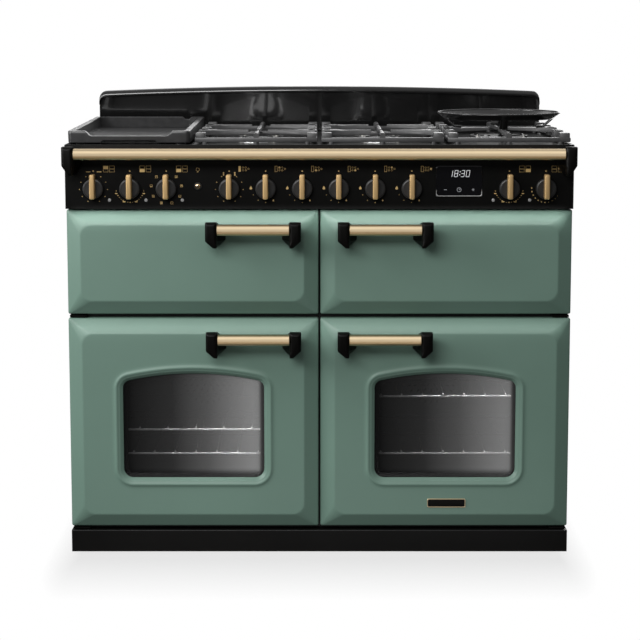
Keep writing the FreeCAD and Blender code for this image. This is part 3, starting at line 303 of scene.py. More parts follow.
button_gold = finish("button_gold", (0.80, 0.62, 0.40), 0.16, metal=1.0, drift=0.05, drift_scale=300,
                     rough_drift=0.04)
bracket_black = finish("bracket_black", (0.0022, 0.002, 0.0017), 0.36, drift=0.2, bump=0.03, bump_scale=700,
                       specular=0.14)
knob_black = finish("knob_black", (0.022, 0.022, 0.022), 0.38, drift=0.15, bump=0.08, bump_scale=1500)
cast_iron = finish("cast_iron", (0.070, 0.070, 0.071), 0.40, drift=0.2, drift_scale=60, rough_drift=0.05,
                   bump=0.05, bump_scale=700)
griddle_coat = finish("griddle_coat", (0.027, 0.027, 0.0275), 0.6, drift=0.2, drift_scale=60, bump=0.04,
                      bump_scale=900, specular=0.1)
griddle_iron = finish("griddle_iron", (0.030, 0.030, 0.031), 0.31, drift=0.15, drift_scale=60, bump=0.015,
                      bump_scale=1200)
cradle_enamel = finish("cradle_enamel", (0.008, 0.008, 0.008), 0.26, drift=0.2, bump=0.08, bump_scale=500,
                       coat=0.3, coat_rough=0.12)
# Near-black for flame slots, vents and intakes: painted shade where the sheet would be open.
painted_slot_shade = finish("painted_slot_shade", (0.006, 0.006, 0.006), 0.85, drift=0.3, drift_scale=300)
pin_ceramic = finish("pin_ceramic", (0.70, 0.68, 0.63), 0.35, drift=0.1, drift_scale=400, bump=0.05)
burner_alloy = finish("burner_alloy", (0.72, 0.72, 0.72), 0.28, metal=1.0, drift=0.08, drift_scale=300,
                      bump=0.1)
zinc_sheet = finish("zinc_sheet", (0.46, 0.47, 0.48), 0.42, metal=1.0, drift=0.18, drift_scale=45,
                    rough_scale=60, rough_drift=0.12, bump=0.05, bump_scale=300)
bright_wire = finish("bright_wire", (0.85, 0.85, 0.85), 0.28, metal=0.6, drift=0.05, drift_scale=200)
heater_steel = finish("heater_steel", (0.16, 0.15, 0.14), 0.5, metal=0.8, drift=0.3, drift_scale=120,
                      bump=0.1)
seal_rubber = finish("seal_rubber", (0.02, 0.02, 0.02), 0.7, drift=0.2, bump=0.3, bump_scale=1500)
foot_plastic = finish("foot_plastic", (0.02, 0.02, 0.02), 0.5, drift=0.2, bump=0.1)
tap_brass = finish("tap_brass", (0.60, 0.44, 0.20), 0.34, metal=1.0, drift=0.15, drift_scale=90, bump=0.1)
control_case = finish("control_case", (0.62, 0.60, 0.55), 0.5, drift=0.06, bump=0.1, bump_scale=800)
panel_glass = finish("panel_glass", (0.004, 0.004, 0.005), 0.08, drift=0.1, rough_drift=0.02)
plate_glass = finish("plate_glass", (0.008, 0.008, 0.009), 0.12, drift=0.4, drift_scale=700, rough_drift=0.03)
frit_black = finish("frit_black", (0.004, 0.004, 0.004), 0.25, drift=0.2)
lamp_lens = finish("lamp_lens", (0.36, 0.36, 0.36), 0.2, drift=0.04)
gold_ink = finish("gold_ink", (0.72, 0.50, 0.20), 0.45, drift=0.05, drift_scale=300)
screw_steel = finish("screw_steel", (0.5, 0.5, 0.5), 0.3, metal=1.0, drift=0.1, drift_scale=400)
bezel_silver = finish("bezel_silver", (0.60, 0.60, 0.60), 0.4, metal=0.3, drift=0.05, drift_scale=400)
digit_white = plain_glow("digit_white", (0.80, 0.82, 0.85), 0.6)
sign_white = plain_glow("sign_white", (0.35, 0.36, 0.38), 0.25)


def tinted_glass(name, cover):
    """Toughened door glass: nearly black, mirror smooth, and see-through by what its cover leaves."""
    material = finish(name, (0.012, 0.012, 0.013), 0.05, drift=0.1, rough_drift=0.02)
    material.node_tree.nodes["Principled BSDF"].inputs["Alpha"].default_value = cover
    material.surface_render_method = "BLENDED"
    return material


door_glass = tinted_glass("door_glass", 0.15)
print("finishes", len(bpy.data.materials))

# %% [markdown]
# Most pieces are drawn as a stack of closed rings, joined ring to ring with quads. This is how a
# pressed door, a bead or a turned knob is described on paper too: one outline, several offsets and depths.
# A ring is a list of points, and all rings of a piece have the same number of them.

# %% Ring tools
SHARP = math.radians(40)
SAME_PLACE = 1e-6


def put(name, mesh, finishes, body, sharp=SHARP):
    """Links a finished mesh as a piece that rides on a body."""
    for material in finishes:
        mesh.materials.append(material)
    mesh.shade_smooth()
    mesh.set_sharp_from_angle(angle=sharp)
    piece = bpy.data.objects.new(name, mesh)
    bpy.context.scene.collection.objects.link(piece)
    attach(piece, body)
    return piece


def ring_mesh(name, rings, close_first=False, close_last=False, around=False):
    """Mesh of quads between rings of points; the end rings may be closed, or joined to each other."""
    count = len(rings[0])
    points = [point for ring in rings for point in ring]
    faces = []
    spans = len(rings) if around else len(rings) - 1
    for span in range(spans):
        low = span * count
        high = ((span + 1) % len(rings)) * count
        for step in range(count):
            following = (step + 1) % count
            faces.append((low + step, low + following, high + following, high + step))
    if close_first:
        faces.append(tuple(reversed(range(count))))
    if close_last:
        faces.append(tuple(range(len(points) - count, len(points))))
    mesh = bpy.data.meshes.new(name)
    mesh.from_pydata(points, [], faces)
    outward(mesh)
    return mesh


@contextmanager
def reworked(mesh):
    """Opens a mesh for editing; then its faces are turned outward and the result is written back."""
    shape = bmesh.new()
    shape.from_mesh(mesh)
    yield shape
    bmesh.ops.recalc_face_normals(shape, faces=shape.faces)
    shape.to_mesh(mesh)
    shape.free()


def outward(mesh):
    """Merges doubled points and turns every face outward."""
    with reworked(mesh) as shape:
        bmesh.ops.remove_doubles(shape, verts=shape.verts, dist=SAME_PLACE)


def full_turn(steps):
    """Even angles round a circle, in radians."""
    return [2 * math.pi * step / steps for step in range(steps)]


def arc_points(x, z, radius, start, turn, steps):
    """Points along an arc, from a start angle through a turn, both in degrees."""
    angles = [math.radians(start + turn * step / steps) for step in range(steps + 1)]
    return [(x + radius * math.cos(angle), z + radius * math.sin(angle)) for angle in angles]


def round_rect(x0, x1, z0, z1, radius, steps=6):
    """Rounded rectangle in the front plane, as x and z pairs."""
    return (arc_points(x0 + radius, z0 + radius, radius, 180, 90, steps)
            + arc_points(x1 - radius, z0 + radius, radius, 270, 90, steps)
            + arc_points(x1 - radius, z1 - radius, radius, 0, 90, steps)
            + arc_points(x0 + radius, z1 - radius, radius, 90, 90, steps))


def at_depth(outline, y):
    """Front-plane outline set at a depth."""
    return [(x, y, z) for x, z in outline]


def rect_ring(x0, x1, z0, z1, inset, corner, y, steps=6):
    """Rounded rectangle drawn in by an inset and set at a depth."""
    return at_depth(round_rect(x0 + inset, x1 - inset, z0 + inset, z1 - inset, corner, steps), y)


def eased(before, corner, after, steps=4):
    """Points of a soft corner between two points, as a quadratic curve."""
    points = []
    for step in range(steps + 1):
        t = step / steps
        points.append(tuple((1 - t) ** 2 * a + 2 * t * (1 - t) * b + t ** 2 * c
                            for a, b, c in zip(before, corner, after)))
    return points


def lathe(name, profile, centre, axis, steps):
    """Turned mesh from a profile of radius and height pairs, about an axis through a centre."""
    rings = []
    for radius, height in profile:
        ring = []
        for angle in full_turn(steps):
            across = radius * math.cos(angle)
            up = radius * math.sin(angle)
            local = {"X": (height, across, up), "Y": (across, height, up), "Z": (across, up, height)}[axis]
            ring.append(tuple(Vector(centre) + Vector(local)))
        rings.append(ring)
    return ring_mesh(name, rings, close_first=profile[0][0] > 0, close_last=profile[-1][0] > 0)


def joined(name, meshes):
    """One mesh from several, each keeping its own faces."""
    shape = bmesh.new()
    for mesh in meshes:
        shape.from_mesh(mesh)
        bpy.data.meshes.remove(mesh)
    result = bpy.data.meshes.new(name)
    shape.to_mesh(result)
    shape.free()
    return result


def round_edges(shape, edges, width, segments):
    """Bevels some edges of a shape into round ones."""
    bmesh.ops.bevel(shape, geom=edges, offset=width, segments=segments, affect="EDGES", profile=0.5)


def block(name, low, high, bevel, segments=2):
    """Box mesh with rounded edges."""
    shape = bmesh.new()
    bmesh.ops.create_cube(shape, size=1.0)
    for vertex in shape.verts:
        for axis in range(3):
            middle = (low[axis] + high[axis]) / 2
            vertex.co[axis] = middle + vertex.co[axis] * (high[axis] - low[axis])
    round_edges(shape, shape.edges[:], bevel, segments)
    mesh = bpy.data.meshes.new(name)
    shape.to_mesh(mesh)
    shape.free()
    return mesh


# %% [markdown]
# The four fronts are pressed from one sheet each: a square rim, a sloping bevel and a raised flat. Rings
# step in from the edge. The creases are crisp but not sharp: each is eased over a few close rings, and
# one ring more on either side keeps the bevel and the flat evenly shaded. The oven fronts also have an
# arched window. A pressed bead runs round it: a narrow roll, a ledge, and a slope down to the glass.

# %% Door fronts
BEVEL = 31 * MM
RIM_CORNER = 4 * MM
FLAT_CORNER = 25 * MM
FLAT_PROUD = 20 * MM
RIM_EASE = 3.5 * MM
CREASE_EASE = 2.2 * MM
RIM_GUARD = 1.4 * RIM_EASE
CREASE_GUARD = 1.6 * CREASE_EASE
BEAD_WIDTH = 28 * MM
BEAD_CROWN = 15 * MM
BEAD_LEDGE = 8 * MM
BEAD_PROUD = 3.2 * MM
BEAD_SINK = 6.5 * MM
BEAD_EDGE = 1.2 * MM
FLAT_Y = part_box("grill_door_panel")[0].y
WINDOW_HALF = 152.5 * MM
WINDOW_LIFT = 114 * MM
WINDOW_SHOULDER = 211 * MM
WINDOW_RISE = 18 * MM
WINDOW_LOW_CORNER = 20 * MM
WINDOW_TOP_CORNER = 16 * MM


def front_ring(low, high, inset, y):
    """One rounded outline of a front, drawn in by an inset."""
    share = min(inset / BEVEL, 1.0)
    corner = RIM_CORNER + (FLAT_CORNER - RIM_CORNER) * share - max(0.0, inset - BEVEL) / 2
    return rect_ring(low.x, high.x, low.z, high.z, inset, corner, y, 8)


def front_rings(low, high, back_y):
    """Rings of a pressed front from its back edge to the flat."""
    rim_y = FLAT_Y + FLAT_PROUD
    slope = Vector((BEVEL, -FLAT_PROUD)).normalized()

    def on_bevel(start, reach):
        return (start[0] + slope.x * reach, start[1] + slope.y * reach)

    edge = (0, rim_y)
    fold = (BEVEL, FLAT_Y)
    rim = eased((0, rim_y + RIM_EASE), edge, on_bevel(edge, RIM_EASE), 5)
    crease = eased(on_bevel(fold, -CREASE_EASE), fold, (BEVEL + CREASE_EASE, FLAT_Y), 4)
    guards = [on_bevel(edge, RIM_GUARD), on_bevel(fold, -CREASE_GUARD)]
    steps = [(0, back_y)] + rim + guards + crease + [(BEVEL + CREASE_GUARD, FLAT_Y)]
    return [front_ring(low, high, inset, y) for inset, y in steps]


def window_outline(x, door_z, grow, steps=8):
    """Arched window outline, grown outwards by a distance."""
    arch = (WINDOW_HALF ** 2 + WINDOW_RISE ** 2) / (2 * WINDOW_RISE)
    arch_z = door_z + WINDOW_LIFT + WINDOW_SHOULDER + WINDOW_RISE - arch
    arch += grow
    half = WINDOW_HALF + grow
    bottom = door_z + WINDOW_LIFT - grow
    low = WINDOW_LOW_CORNER + grow
    top = WINDOW_TOP_CORNER + grow
    side_z = arch_z + math.sqrt((arch - top) ** 2 - (half - top) ** 2)
    lean = math.degrees(math.atan2(side_z - arch_z, half - top))
    return (arc_points(x - half + low, bottom + low, low, 180, 90, steps)
            + arc_points(x + half - low, bottom + low, low, 270, 90, steps)
            + arc_points(x + half - top, side_z, top, 0, lean, steps)
            + arc_points(x, arch_z, arch, lean, 180 - 2 * lean, 3 * steps)[1:-1]
            + arc_points(x - half + top, side_z, top, 180 - lean, lean, steps))


def bead_rings(x, door_z):
    """Pressed bead: a narrow roll round the window, a ledge, and a slope down to the glass."""
    # Each step is a distance out from the window's edge and a height over the flat.
    foot = eased((BEAD_WIDTH, 0), (BEAD_WIDTH * 0.75, 0), (BEAD_WIDTH * 0.65, BEAD_PROUD * 0.6), 7)
    crown = eased(foot[-1], (BEAD_CROWN, BEAD_PROUD * 1.2), (BEAD_CROWN - 3.5 * MM, BEAD_PROUD * 0.4), 8)
    ledge = [(BEAD_LEDGE + 1.2 * MM, 0.3 * MM), (BEAD_LEDGE, 0.1 * MM), (BEAD_LEDGE - 0.6 * MM, -0.4 * MM)]
    sink = [(2 * MM, -BEAD_SINK * 0.9), (BEAD_EDGE, -BEAD_SINK), (BEAD_EDGE, -BEAD_SINK - 1 * MM)]
    steps = foot + crown[1:] + ledge + sink
    return [at_depth(window_outline(x, door_z, grow), FLAT_Y - proud) for grow, proud in steps]


def bridge_flat(mesh):
    """Fills the flat between the outer and inner loops that lie open on it."""
    with reworked(mesh) as shape:
        loops = [edge for edge in shape.edges if edge.is_boundary
                 and all(abs(vertex.co.y - FLAT_Y) < SAME_PLACE for vertex in edge.verts)]
        bmesh.ops.triangle_fill(shape, edges=loops, use_beauty=True)


def face_camera_side(mesh):
    """Turns an open front shell so that its faces look forward."""
    if sum(face.normal.y * face.area for face in mesh.polygons) > 0:
        mesh.flip_normals()


def dress_front(node, body, window):
    """Smooth front in place of a CAD front."""
    low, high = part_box(node)
    mesh = ring_mesh(node + "_skin", front_rings(low, high, high.y), close_last=not window)
    if window:
        bead = ring_mesh(node + "_bead", bead_rings((low.x + high.x) / 2, low.z))
        mesh = joined(node + "_skin", [mesh, bead])
        bridge_flat(mesh)
    face_camera_side(mesh)
    piece = put(node + "_skin", mesh, [green_enamel], body, math.radians(60))
    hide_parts(node)


dress_front("grill_door_panel", "grill_door", False)
dress_front("drawer_front", "drawer", False)
dress_front("left_door_panel", "left_door", True)
dress_front("right_door_panel", "right_door", True)
print("fronts dressed, flat at", round(FLAT_Y, 4))

# %% [markdown]
# Each oven door has two panes. The outer one is tinted, and a painted reflection lies in its colour: a grey
# that brightens towards the right of each window, drops off at the right edge and fades out at the foot.
# Being part of the finish, the painted reflection stays on the pane in every view. A printed black border
# hides the edge of the pane, just behind the outer glass.

# %% Door glass
PANE_LAP = 14 * MM
PANE_SET_BACK = 6 * MM
PANE = 4 * MM
FRIT_LAP = 3 * MM
FRIT_WIDTH = 8 * MM
FRIT_GAP = 0.3 * MM
OVEN_X = 274 * MM
# Painted reflection on the outer pane: greys at shares across a window, its two end greys, and the share left
# at the foot.
REFLECTION_STOPS = ((0.08, 0.03), (0.35, 0.07), (0.6, 0.24), (0.92, 0.66), (0.96, 0.62), (0.985, 0.12))
REFLECTION_LEFT = 0.01
REFLECTION_RIGHT = 0.08
REFLECTION_AT_FOOT = 0.12
WINDOW_FOOT_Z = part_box("left_door_panel")[0].z + WINDOW_LIFT


def from_window_middle(material, x):
    """Node that turns X into the distance from the middle of the nearer window."""
    nodes = material.node_tree.nodes
    links = material.node_tree.links
    side, middle, across = [nodes.new("ShaderNodeMath") for _ in range(3)]
    side.operation = "SIGN"
    middle.operation = "MULTIPLY"
    across.operation = "SUBTRACT"
    middle.inputs[1].default_value = OVEN_X
    links.new(x, side.inputs[0])
    links.new(side.outputs[0], middle.inputs[0])
    links.new(x, across.inputs[0])
    links.new(middle.outputs[0], across.inputs[1])
    return across


def painted_reflection_glass():
    """Outer pane with a painted reflection in its colour, dark to pale across each window and faded at the
    foot.
    """
    material = tinted_glass("outer_glass", 0.3)
    axes = object_axes(material)
    across = from_window_middle(material, axes.outputs["X"])
    reach = mapped(material, across.outputs[0], -WINDOW_HALF, WINDOW_HALF)
    ramp = material.node_tree.nodes.new("ShaderNodeValToRGB")
    stops = ramp.color_ramp.elements
    stops[0].color = (REFLECTION_LEFT, REFLECTION_LEFT, REFLECTION_LEFT, 1)
    stops[1].color = (REFLECTION_RIGHT, REFLECTION_RIGHT, REFLECTION_RIGHT, 1)
    for share, grey in REFLECTION_STOPS:
        stops.new(share).color = (grey, grey, grey, 1)
    material.node_tree.links.new(reach.outputs["Result"], ramp.inputs["Fac"])
    foot = mapped(material, axes.outputs["Z"], WINDOW_FOOT_Z + 3 * MM, WINDOW_FOOT_Z + 20 * MM, REFLECTION_AT_FOOT)
    foot.interpolation_type = "SMOOTHSTEP"
    shade_colour(material, ramp.outputs["Color"], foot.outputs["Result"])
    return material


outer_glass = painted_reflection_glass()


def pane_mesh(name, x, door_z, y):
    """Flat pane cut to the window outline with a lap all round."""
    outline = window_outline(x, door_z, PANE_LAP)
    return ring_mesh(name, [at_depth(outline, y), at_depth(outline, y + PANE)], True, True)


def dress_glass(door):
    """Two panes and the printed border of one oven door."""
    low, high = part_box(door + "_glass")
    door_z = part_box(door + "_panel")[0].z
    x = (low.x + high.x) / 2
    front = low.y + PANE_SET_BACK
    outer = put(door + "_outer_pane", pane_mesh("outer_pane", x, door_z, front), [outer_glass], door)
    inner = put(door + "_inner_pane", pane_mesh("inner_pane", x, door_z, high.y - PANE), [door_glass], door)
    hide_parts(door + "_glass")
    border_y = front + PANE + FRIT_GAP
    border = ring_mesh("frit", [at_depth(window_outline(x, door_z, grow), border_y)
                                for grow in (FRIT_LAP, -FRIT_WIDTH)])
    face_camera_side(border)
    put(door + "_frit", border, [frit_black], door)


dress_glass("left_door")
dress_glass("right_door")

# %% [markdown]
# Handles and the hob rail are the same idea: a brushed brass bar that ends in two black posts. A post
# has a shield-shaped section with a blunt point, and it leans from its foot out to the end of the bar.
# It is lofted through four such sections; the first is smaller, which chamfers the head, and then every
# edge is rounded. Narrow lamps under the rail and before the doors' upper edges lift the bevels there,
# and one near the floor lights the foot of the fronts.

# %% Handles and rail
BAR_RADIUS = 12 * MM
HANDLE_REACH = 45 * MM
HANDLE_HALF = 77 * MM
HANDLE_X = 141 * MM
HANDLE_DROP = 37 * MM
POST_WIDTH = 25 * MM
POST_TOP = 16 * MM
POST_SIDE = 24 * MM
POST_POINT = 41 * MM
FOOT_TOP = -6 * MM
FOOT_SIDE = 26 * MM
POST_BLUNT = 4 * MM
RAIL_POINT = 48 * MM
HEAD_CHAMFER = 5 * MM
POST_ROUND = 1.8 * MM
HANDLE_LEAN = 17 * MM
RAIL_LEAN = 12 * MM
BAR_EASE = 0.8 * MM
BAR_Y = FLAT_Y - HANDLE_REACH


def shield(x, y, z, tip_x, top, side, point, shrink=0.0):
    """Six-cornered section of a post: flat top, upright sides, blunt point at the bottom."""
    half = POST_WIDTH / 2 - shrink
    tip_z = z - point + POST_BLUNT / 2 + shrink
    outline = [(x - half, z + top - shrink), (x + half, z + top - shrink), (x + half, z - side),
               (tip_x + POST_BLUNT, tip_z), (tip_x - POST_BLUNT, tip_z), (x - half, z - side)]
    return at_depth(outline, y)


BENT = math.radians(15)


def soften(mesh, width, segments):
    """Rounds every edge of a mesh that turns by more than a little."""
    with reworked(mesh) as shape:
        edges = [edge for edge in shape.edges if edge.is_manifold and edge.calc_face_angle() > BENT]
        round_edges(shape, edges, width, segments)


def post_mesh(x, z, seat_y, inward, point=POST_POINT):
    """Post from its seat to the bar's end; its point lies between the two."""
    front = BAR_Y - BAR_RADIUS
    tip_x = x + inward / 2
    rings = [shield(x, front, z, tip_x, POST_TOP, POST_SIDE, point, HEAD_CHAMFER),
             shield(x, front + HEAD_CHAMFER, z, tip_x, POST_TOP, POST_SIDE, point),
             shield(x, BAR_Y + BAR_RADIUS, z, tip_x, POST_TOP, POST_SIDE, point),
             shield(x + inward, seat_y, z, tip_x, FOOT_TOP, FOOT_SIDE, point)]
    mesh = ring_mesh("post", rings, True, True)
    soften(mesh, POST_ROUND, 3)
    return mesh


def bar_mesh(x0, x1, z):
    """Round bar with slightly eased ends."""
    length = x1 - x0
    profile = [(BAR_RADIUS - BAR_EASE, 0), (BAR_RADIUS, BAR_EASE), (BAR_RADIUS, length - BAR_EASE),
               (BAR_RADIUS - BAR_EASE, length)]
    return lathe("bar", profile, (x0, BAR_Y, z), "X", 40)


def dress_handle(node, body, panel, side):
    """Bar and two posts in place of a CAD handle."""
    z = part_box(panel)[1].z - HANDLE_DROP
    x = side * HANDLE_X
    out = HANDLE_HALF + POST_WIDTH / 2
    bar = put(node + "_bar", bar_mesh(x - HANDLE_HALF, x + HANDLE_HALF, z), [brass], body)
    light_as_brass(bar)
    posts = joined("posts", [post_mesh(x - out, z, FLAT_Y, HANDLE_LEAN),
                             post_mesh(x + out, z, FLAT_Y, -HANDLE_LEAN)])
    piece = put(node + "_posts", posts, [bracket_black], body)
    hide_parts(node)


dress_handle("left_door_handle", "left_door", "left_door_panel", -1)
dress_handle("right_door_handle", "right_door", "right_door_panel", 1)
dress_handle("grill_door_handle", "grill_door", "grill_door_panel", -1)
dress_handle("drawer_handle", "drawer", "drawer_front", 1)

rail_low, rail_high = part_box("hob_rail")
fascia_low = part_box("fascia")[0]
RAIL_Z = (rail_low.z + rail_high.z) / 2
rail = put("rail_bar", bar_mesh(rail_low.x, rail_high.x, RAIL_Z), [brass], "carcass")
light_as_brass(rail)
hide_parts("hob_rail")
rail_out = rail_high.x + POST_WIDTH / 2
rail_posts = joined("rail_posts", [post_mesh(-rail_out, RAIL_Z, fascia_low.y, RAIL_LEAN, RAIL_POINT),
                                   post_mesh(rail_out, RAIL_Z, fascia_low.y, -RAIL_LEAN, RAIL_POINT)])
piece = put("rail_posts", rail_posts, [bracket_black], "carcass")
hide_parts("rail_brackets")

STRIP_LENGTH = 1.06
STRIP_WIDTH = 12 * MM
STRIP_SPREAD = math.radians(60)
FLOOR_STRIP = (0, -0.7, 0.02)
FRONT_FOOT = (0, FLAT_Y, 0.08)


def bevel_strip(name, edge_z, power):
    """Narrow lamp in front of an upper edge, which brightens the bevel below that edge."""
    place = (0, FLAT_Y - 32 * MM, edge_z + 8 * MM)
    target = (0, FLAT_Y + 10 * MM, edge_z - 20 * MM)
    lamp = soft_box(name, place, target, STRIP_LENGTH, STRIP_WIDTH, power)
    lamp.data.spread = STRIP_SPREAD


bevel_strip("rail_strip", fascia_low.z, 0.1)
bevel_strip("door_strip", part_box("left_door_panel")[1].z, 0.035)
soft_box("floor_strip", FLOOR_STRIP, FRONT_FOOT, 1.1, 0.1, 0.3)
print("bars and posts made, bar at", round(BAR_Y, 4))

# %% [markdown]
# A knob is a black turned skirt with a brass grip bar that overhangs it at the top. The skirt is a lathe
# profile with a fine step near its edge, and the grip is a stack of rounded outlines that close in
# at the front. Both ride on the knob's own body, so they turn about the spindle of the CAD joint.

# %% Knobs, button and lamps
KNOBS = ["grill_knob", "left_oven_knob", "oven_function_knob", "griddle_knob", "left_rear_burner_knob",
         "left_front_burner_knob", "centre_front_burner_knob", "centre_rear_burner_knob", "wok_burner_knob",
         "right_oven_knob", "drawer_knob"]
KNOB_RADIUS = 22 * MM
KNOB_DISC = 13 * MM
FACE_STEP = 0.6 * MM
GRIP_HALF = 5.6 * MM
KNOB_TOP = 36 * MM
GRIP_DOWN = 21 * MM
GRIP_UP = 32 * MM
GRIP_DEPTH = 18 * MM
GRIP_CORNER = 3 * MM
LAMP_ASIDE = 34 * MM
FASCIA_Y = fascia_low.y


def knob_centre(name):
    """Middle of a knob's skirt at the fascia."""
    low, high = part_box(name)
    return Vector(((low.x + high.x) / 2, FASCIA_Y, high.z - KNOB_TOP))


def skirt_mesh(centre):
    """Turned skirt with a rounded edge and a shallow step on its face."""
    back = -1 * MM
    front = back - KNOB_DISC
    profile = [(KNOB_RADIUS - 1 * MM, back), (KNOB_RADIUS, back - 1 * MM), (KNOB_RADIUS, front + 3 * MM),
               (KNOB_RADIUS - 0.9 * MM, front + 1 * MM), (KNOB_RADIUS - 3 * MM, front),
               (KNOB_RADIUS - 4.5 * MM, front), (KNOB_RADIUS - 5 * MM, front + FACE_STEP),
               (0, front + FACE_STEP)]
    return lathe("skirt", profile, centre, "Y", 56)


def grip_mesh(centre):
    """Brass grip bar, eased at its front."""
    seat = FASCIA_Y - KNOB_DISC
    front = seat - 1 * MM - GRIP_DEPTH
    steps = [(0, seat), (0, front + 3 * MM), (0.4 * MM, front + 1.2 * MM), (1.2 * MM, front + 0.3 * MM),
             (2.4 * MM, front)]
    left, right = centre.x - GRIP_HALF, centre.x + GRIP_HALF
    foot, top = centre.z - GRIP_DOWN, centre.z + GRIP_UP
    rings = [rect_ring(left, right, foot, top, inset, GRIP_CORNER - inset / 2, y) for inset, y in steps]
    return ring_mesh("grip", rings, True, True)


for name in KNOBS:
    centre = knob_centre(name)
    skirt = put(name + "_skirt", skirt_mesh(centre), [knob_black], name)
    grip = put(name + "_grip", grip_mesh(centre), [grip_brass], name)
    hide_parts(name)

button_low, button_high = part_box("lamp_button")
button_x = (button_low.x + button_high.x) / 2
button_z = (button_low.z + button_high.z) / 2
button_centre = (button_x, FASCIA_Y, button_z)
button_profile = [(6 * MM, 3 * MM), (6 * MM, -2.6 * MM), (5.4 * MM, -4.2 * MM), (4 * MM, -5.2 * MM),
                  (2 * MM, -5.7 * MM), (0, -5.8 * MM)]
collar_profile = [(6.3 * MM, 2 * MM), (8 * MM, 2 * MM), (8 * MM, -1.4 * MM), (7.4 * MM, -2 * MM),
                  (6.3 * MM, -2 * MM)]
cap = lathe("button", button_profile, button_centre, "Y", 40)
button = put("button_cap", cap, [button_gold], "lamp_button")
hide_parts("lamp_button")
put("button_collar", lathe("collar", collar_profile, button_centre, "Y", 40), [knob_black], "carcass")


def lamp_mesh(x, z):
    """Domed neon lens."""
    profile = [(3.4 * MM, 2 * MM), (3.4 * MM, -0.3 * MM), (2.8 * MM, -0.65 * MM), (1.5 * MM, -0.75 * MM),
               (0, -0.75 * MM)]
    return lathe("lens", profile, (x, FASCIA_Y, z), "Y", 24)


lamp_z = sum(corner.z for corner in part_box("indicator_lamps")) / 2
lamp_xs = [knob_centre(name).x + LAMP_ASIDE for name in KNOBS[:3]]
lamp_xs += [knob_centre(name).x - LAMP_ASIDE for name in KNOBS[9:]]
lenses = put("lamp_lenses", joined("lenses", [lamp_mesh(x, lamp_z) for x in lamp_xs]), [lamp_lens], "carcass")
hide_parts("indicator_lamps")
print("knobs", len(KNOBS), "lamps", len(lamp_xs))

# %% [markdown]
# Solids that need no new shape keep their CAD mesh and only get a finish. The plinth also gets a thin lip
# along its upper edge, in a black lighter and glossier than the plinth's: a painted highlight line under the
# doors, which its rounded edge also catches as real light.

# %% Finishes on the CAD solids
def paint(material, *names):
    """Gives CAD nodes one finish."""
    for name in names:
        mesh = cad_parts[name].data
        mesh.materials.clear()
        mesh.materials.append(material)


paint(hob_enamel, "hob_tray")
paint(plinth_enamel, "plinth")
plinth_low, plinth_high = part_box("plinth")
# Lip in a lighter, glossier black than the plinth: a painted highlight along its upper edge.
plinth_highlight_lip = block("plinth_highlight_lip", (plinth_low.x, plinth_low.y - 0.3 * MM, plinth_high.z - 1.8 * MM),
                    (plinth_high.x, plinth_low.y + 3 * MM, plinth_high.z + 0.3 * MM), 0.8 * MM)
put("plinth_highlight_lip", plinth_highlight_lip, [knob_black], "carcass")
paint(fascia_enamel, "fascia")
paint(side_enamel, "side_panels", "front_frame")
paint(bracket_black, "hinge_brackets")
paint(zinc_sheet, "base_tray", "back_panel", "drawer_housing", "drawer_runners", "drawer_box",
      "grill_door_liner", "gas_manifold")
paint(oven_enamel, "left_oven_cavity", "right_oven_cavity", "grill_cavity", "grill_pan", "left_door_liner",
      "right_door_liner")
paint(heater_steel, "heating_elements")
paint(seal_rubber, "door_seals")
paint(foot_plastic, "levelling_feet")
paint(plate_glass, "hot_plate")
paint(tap_brass, "gas_taps")
paint(control_case, "heat_controls")
print("painted CAD nodes")

# %% [markdown]
# The legends are printed in gold on the black fascia. Print has no thickness to speak of, so each mark is
# a flat polygon a quarter of a millimetre in front of the enamel. A mark is drawn round its knob by
# angle and radius, which is how a dial is laid out.

# %% Legends
INK_LIFT = 0.25 * MM
DIAL = 30 * MM
OVEN_MAP = (26.8 * MM, 38.7 * MM)
OVEN_MAP_PITCH = (13.4 * MM, 6.8 * MM)
OVEN_MAP_FILLED = (10.6 * MM, 6.6 * MM)
OVEN_MAP_OPEN = (10.2 * MM, 6.2 * MM, 0.4 * MM)
HOB_MAP_Z = 42.3 * MM
HOB_MAP_GRIDDLE = (22.5 * MM, 4.8 * MM, 12 * MM)
HOB_MAP_BURNERS = {"left_rear": (29.5, 3), "left_front": (29.5, -3), "centre_front": (35.5, -3),
                   "centre_rear": (35.5, 3), "wok": (41.2, 0)}
DOT_STEP = 31
SIGN_SIDE = 4.6 * MM


def disc(x, z, radius, steps=14):
    """Round mark."""
    return [arc_points(x, z, radius, 0, 360 - 360 / steps, steps - 1)]


def dash(x, z, width, height):
    """Straight mark."""
    return [[(x - width / 2, z - height / 2), (x + width / 2, z - height / 2),
             (x + width / 2, z + height / 2), (x - width / 2, z + height / 2)]]


def outlined(x, z, width, height, line):
    """Rectangle drawn with four thin strokes."""
    return (dash(x, z + height / 2, width + line, line) + dash(x, z - height / 2, width + line, line)
            + dash(x - width / 2, z, line, height - line) + dash(x + width / 2, z, line, height - line))


def hoop(x, z, radius, line, steps=20):
    """Circle drawn with a thin stroke, as a run of quads."""
    outer = arc_points(x, z, radius + line / 2, 0, 360, steps)
    inner = arc_points(x, z, radius - line / 2, 0, 360, steps)
    return [[outer[i], outer[i + 1], inner[i + 1], inner[i]] for i in range(steps)]


def flame(x, z, size):
    """Flame sign: a round base drawn up to a bent tip."""
    shares = [(0.0, -0.5), (0.28, -0.42), (0.38, -0.18), (0.30, 0.06), (0.12, 0.30), (0.04, 0.55),
              (-0.10, 0.28), (-0.28, 0.08), (-0.38, -0.18), (-0.28, -0.42)]
    return [[(x + across * size, z + up * size) for across, up in shares]]


def around(x, z, angle, radius=DIAL):
    """Place on a dial at an angle in degrees."""
    return x + radius * math.cos(math.radians(angle)), z + radius * math.sin(math.radians(angle))


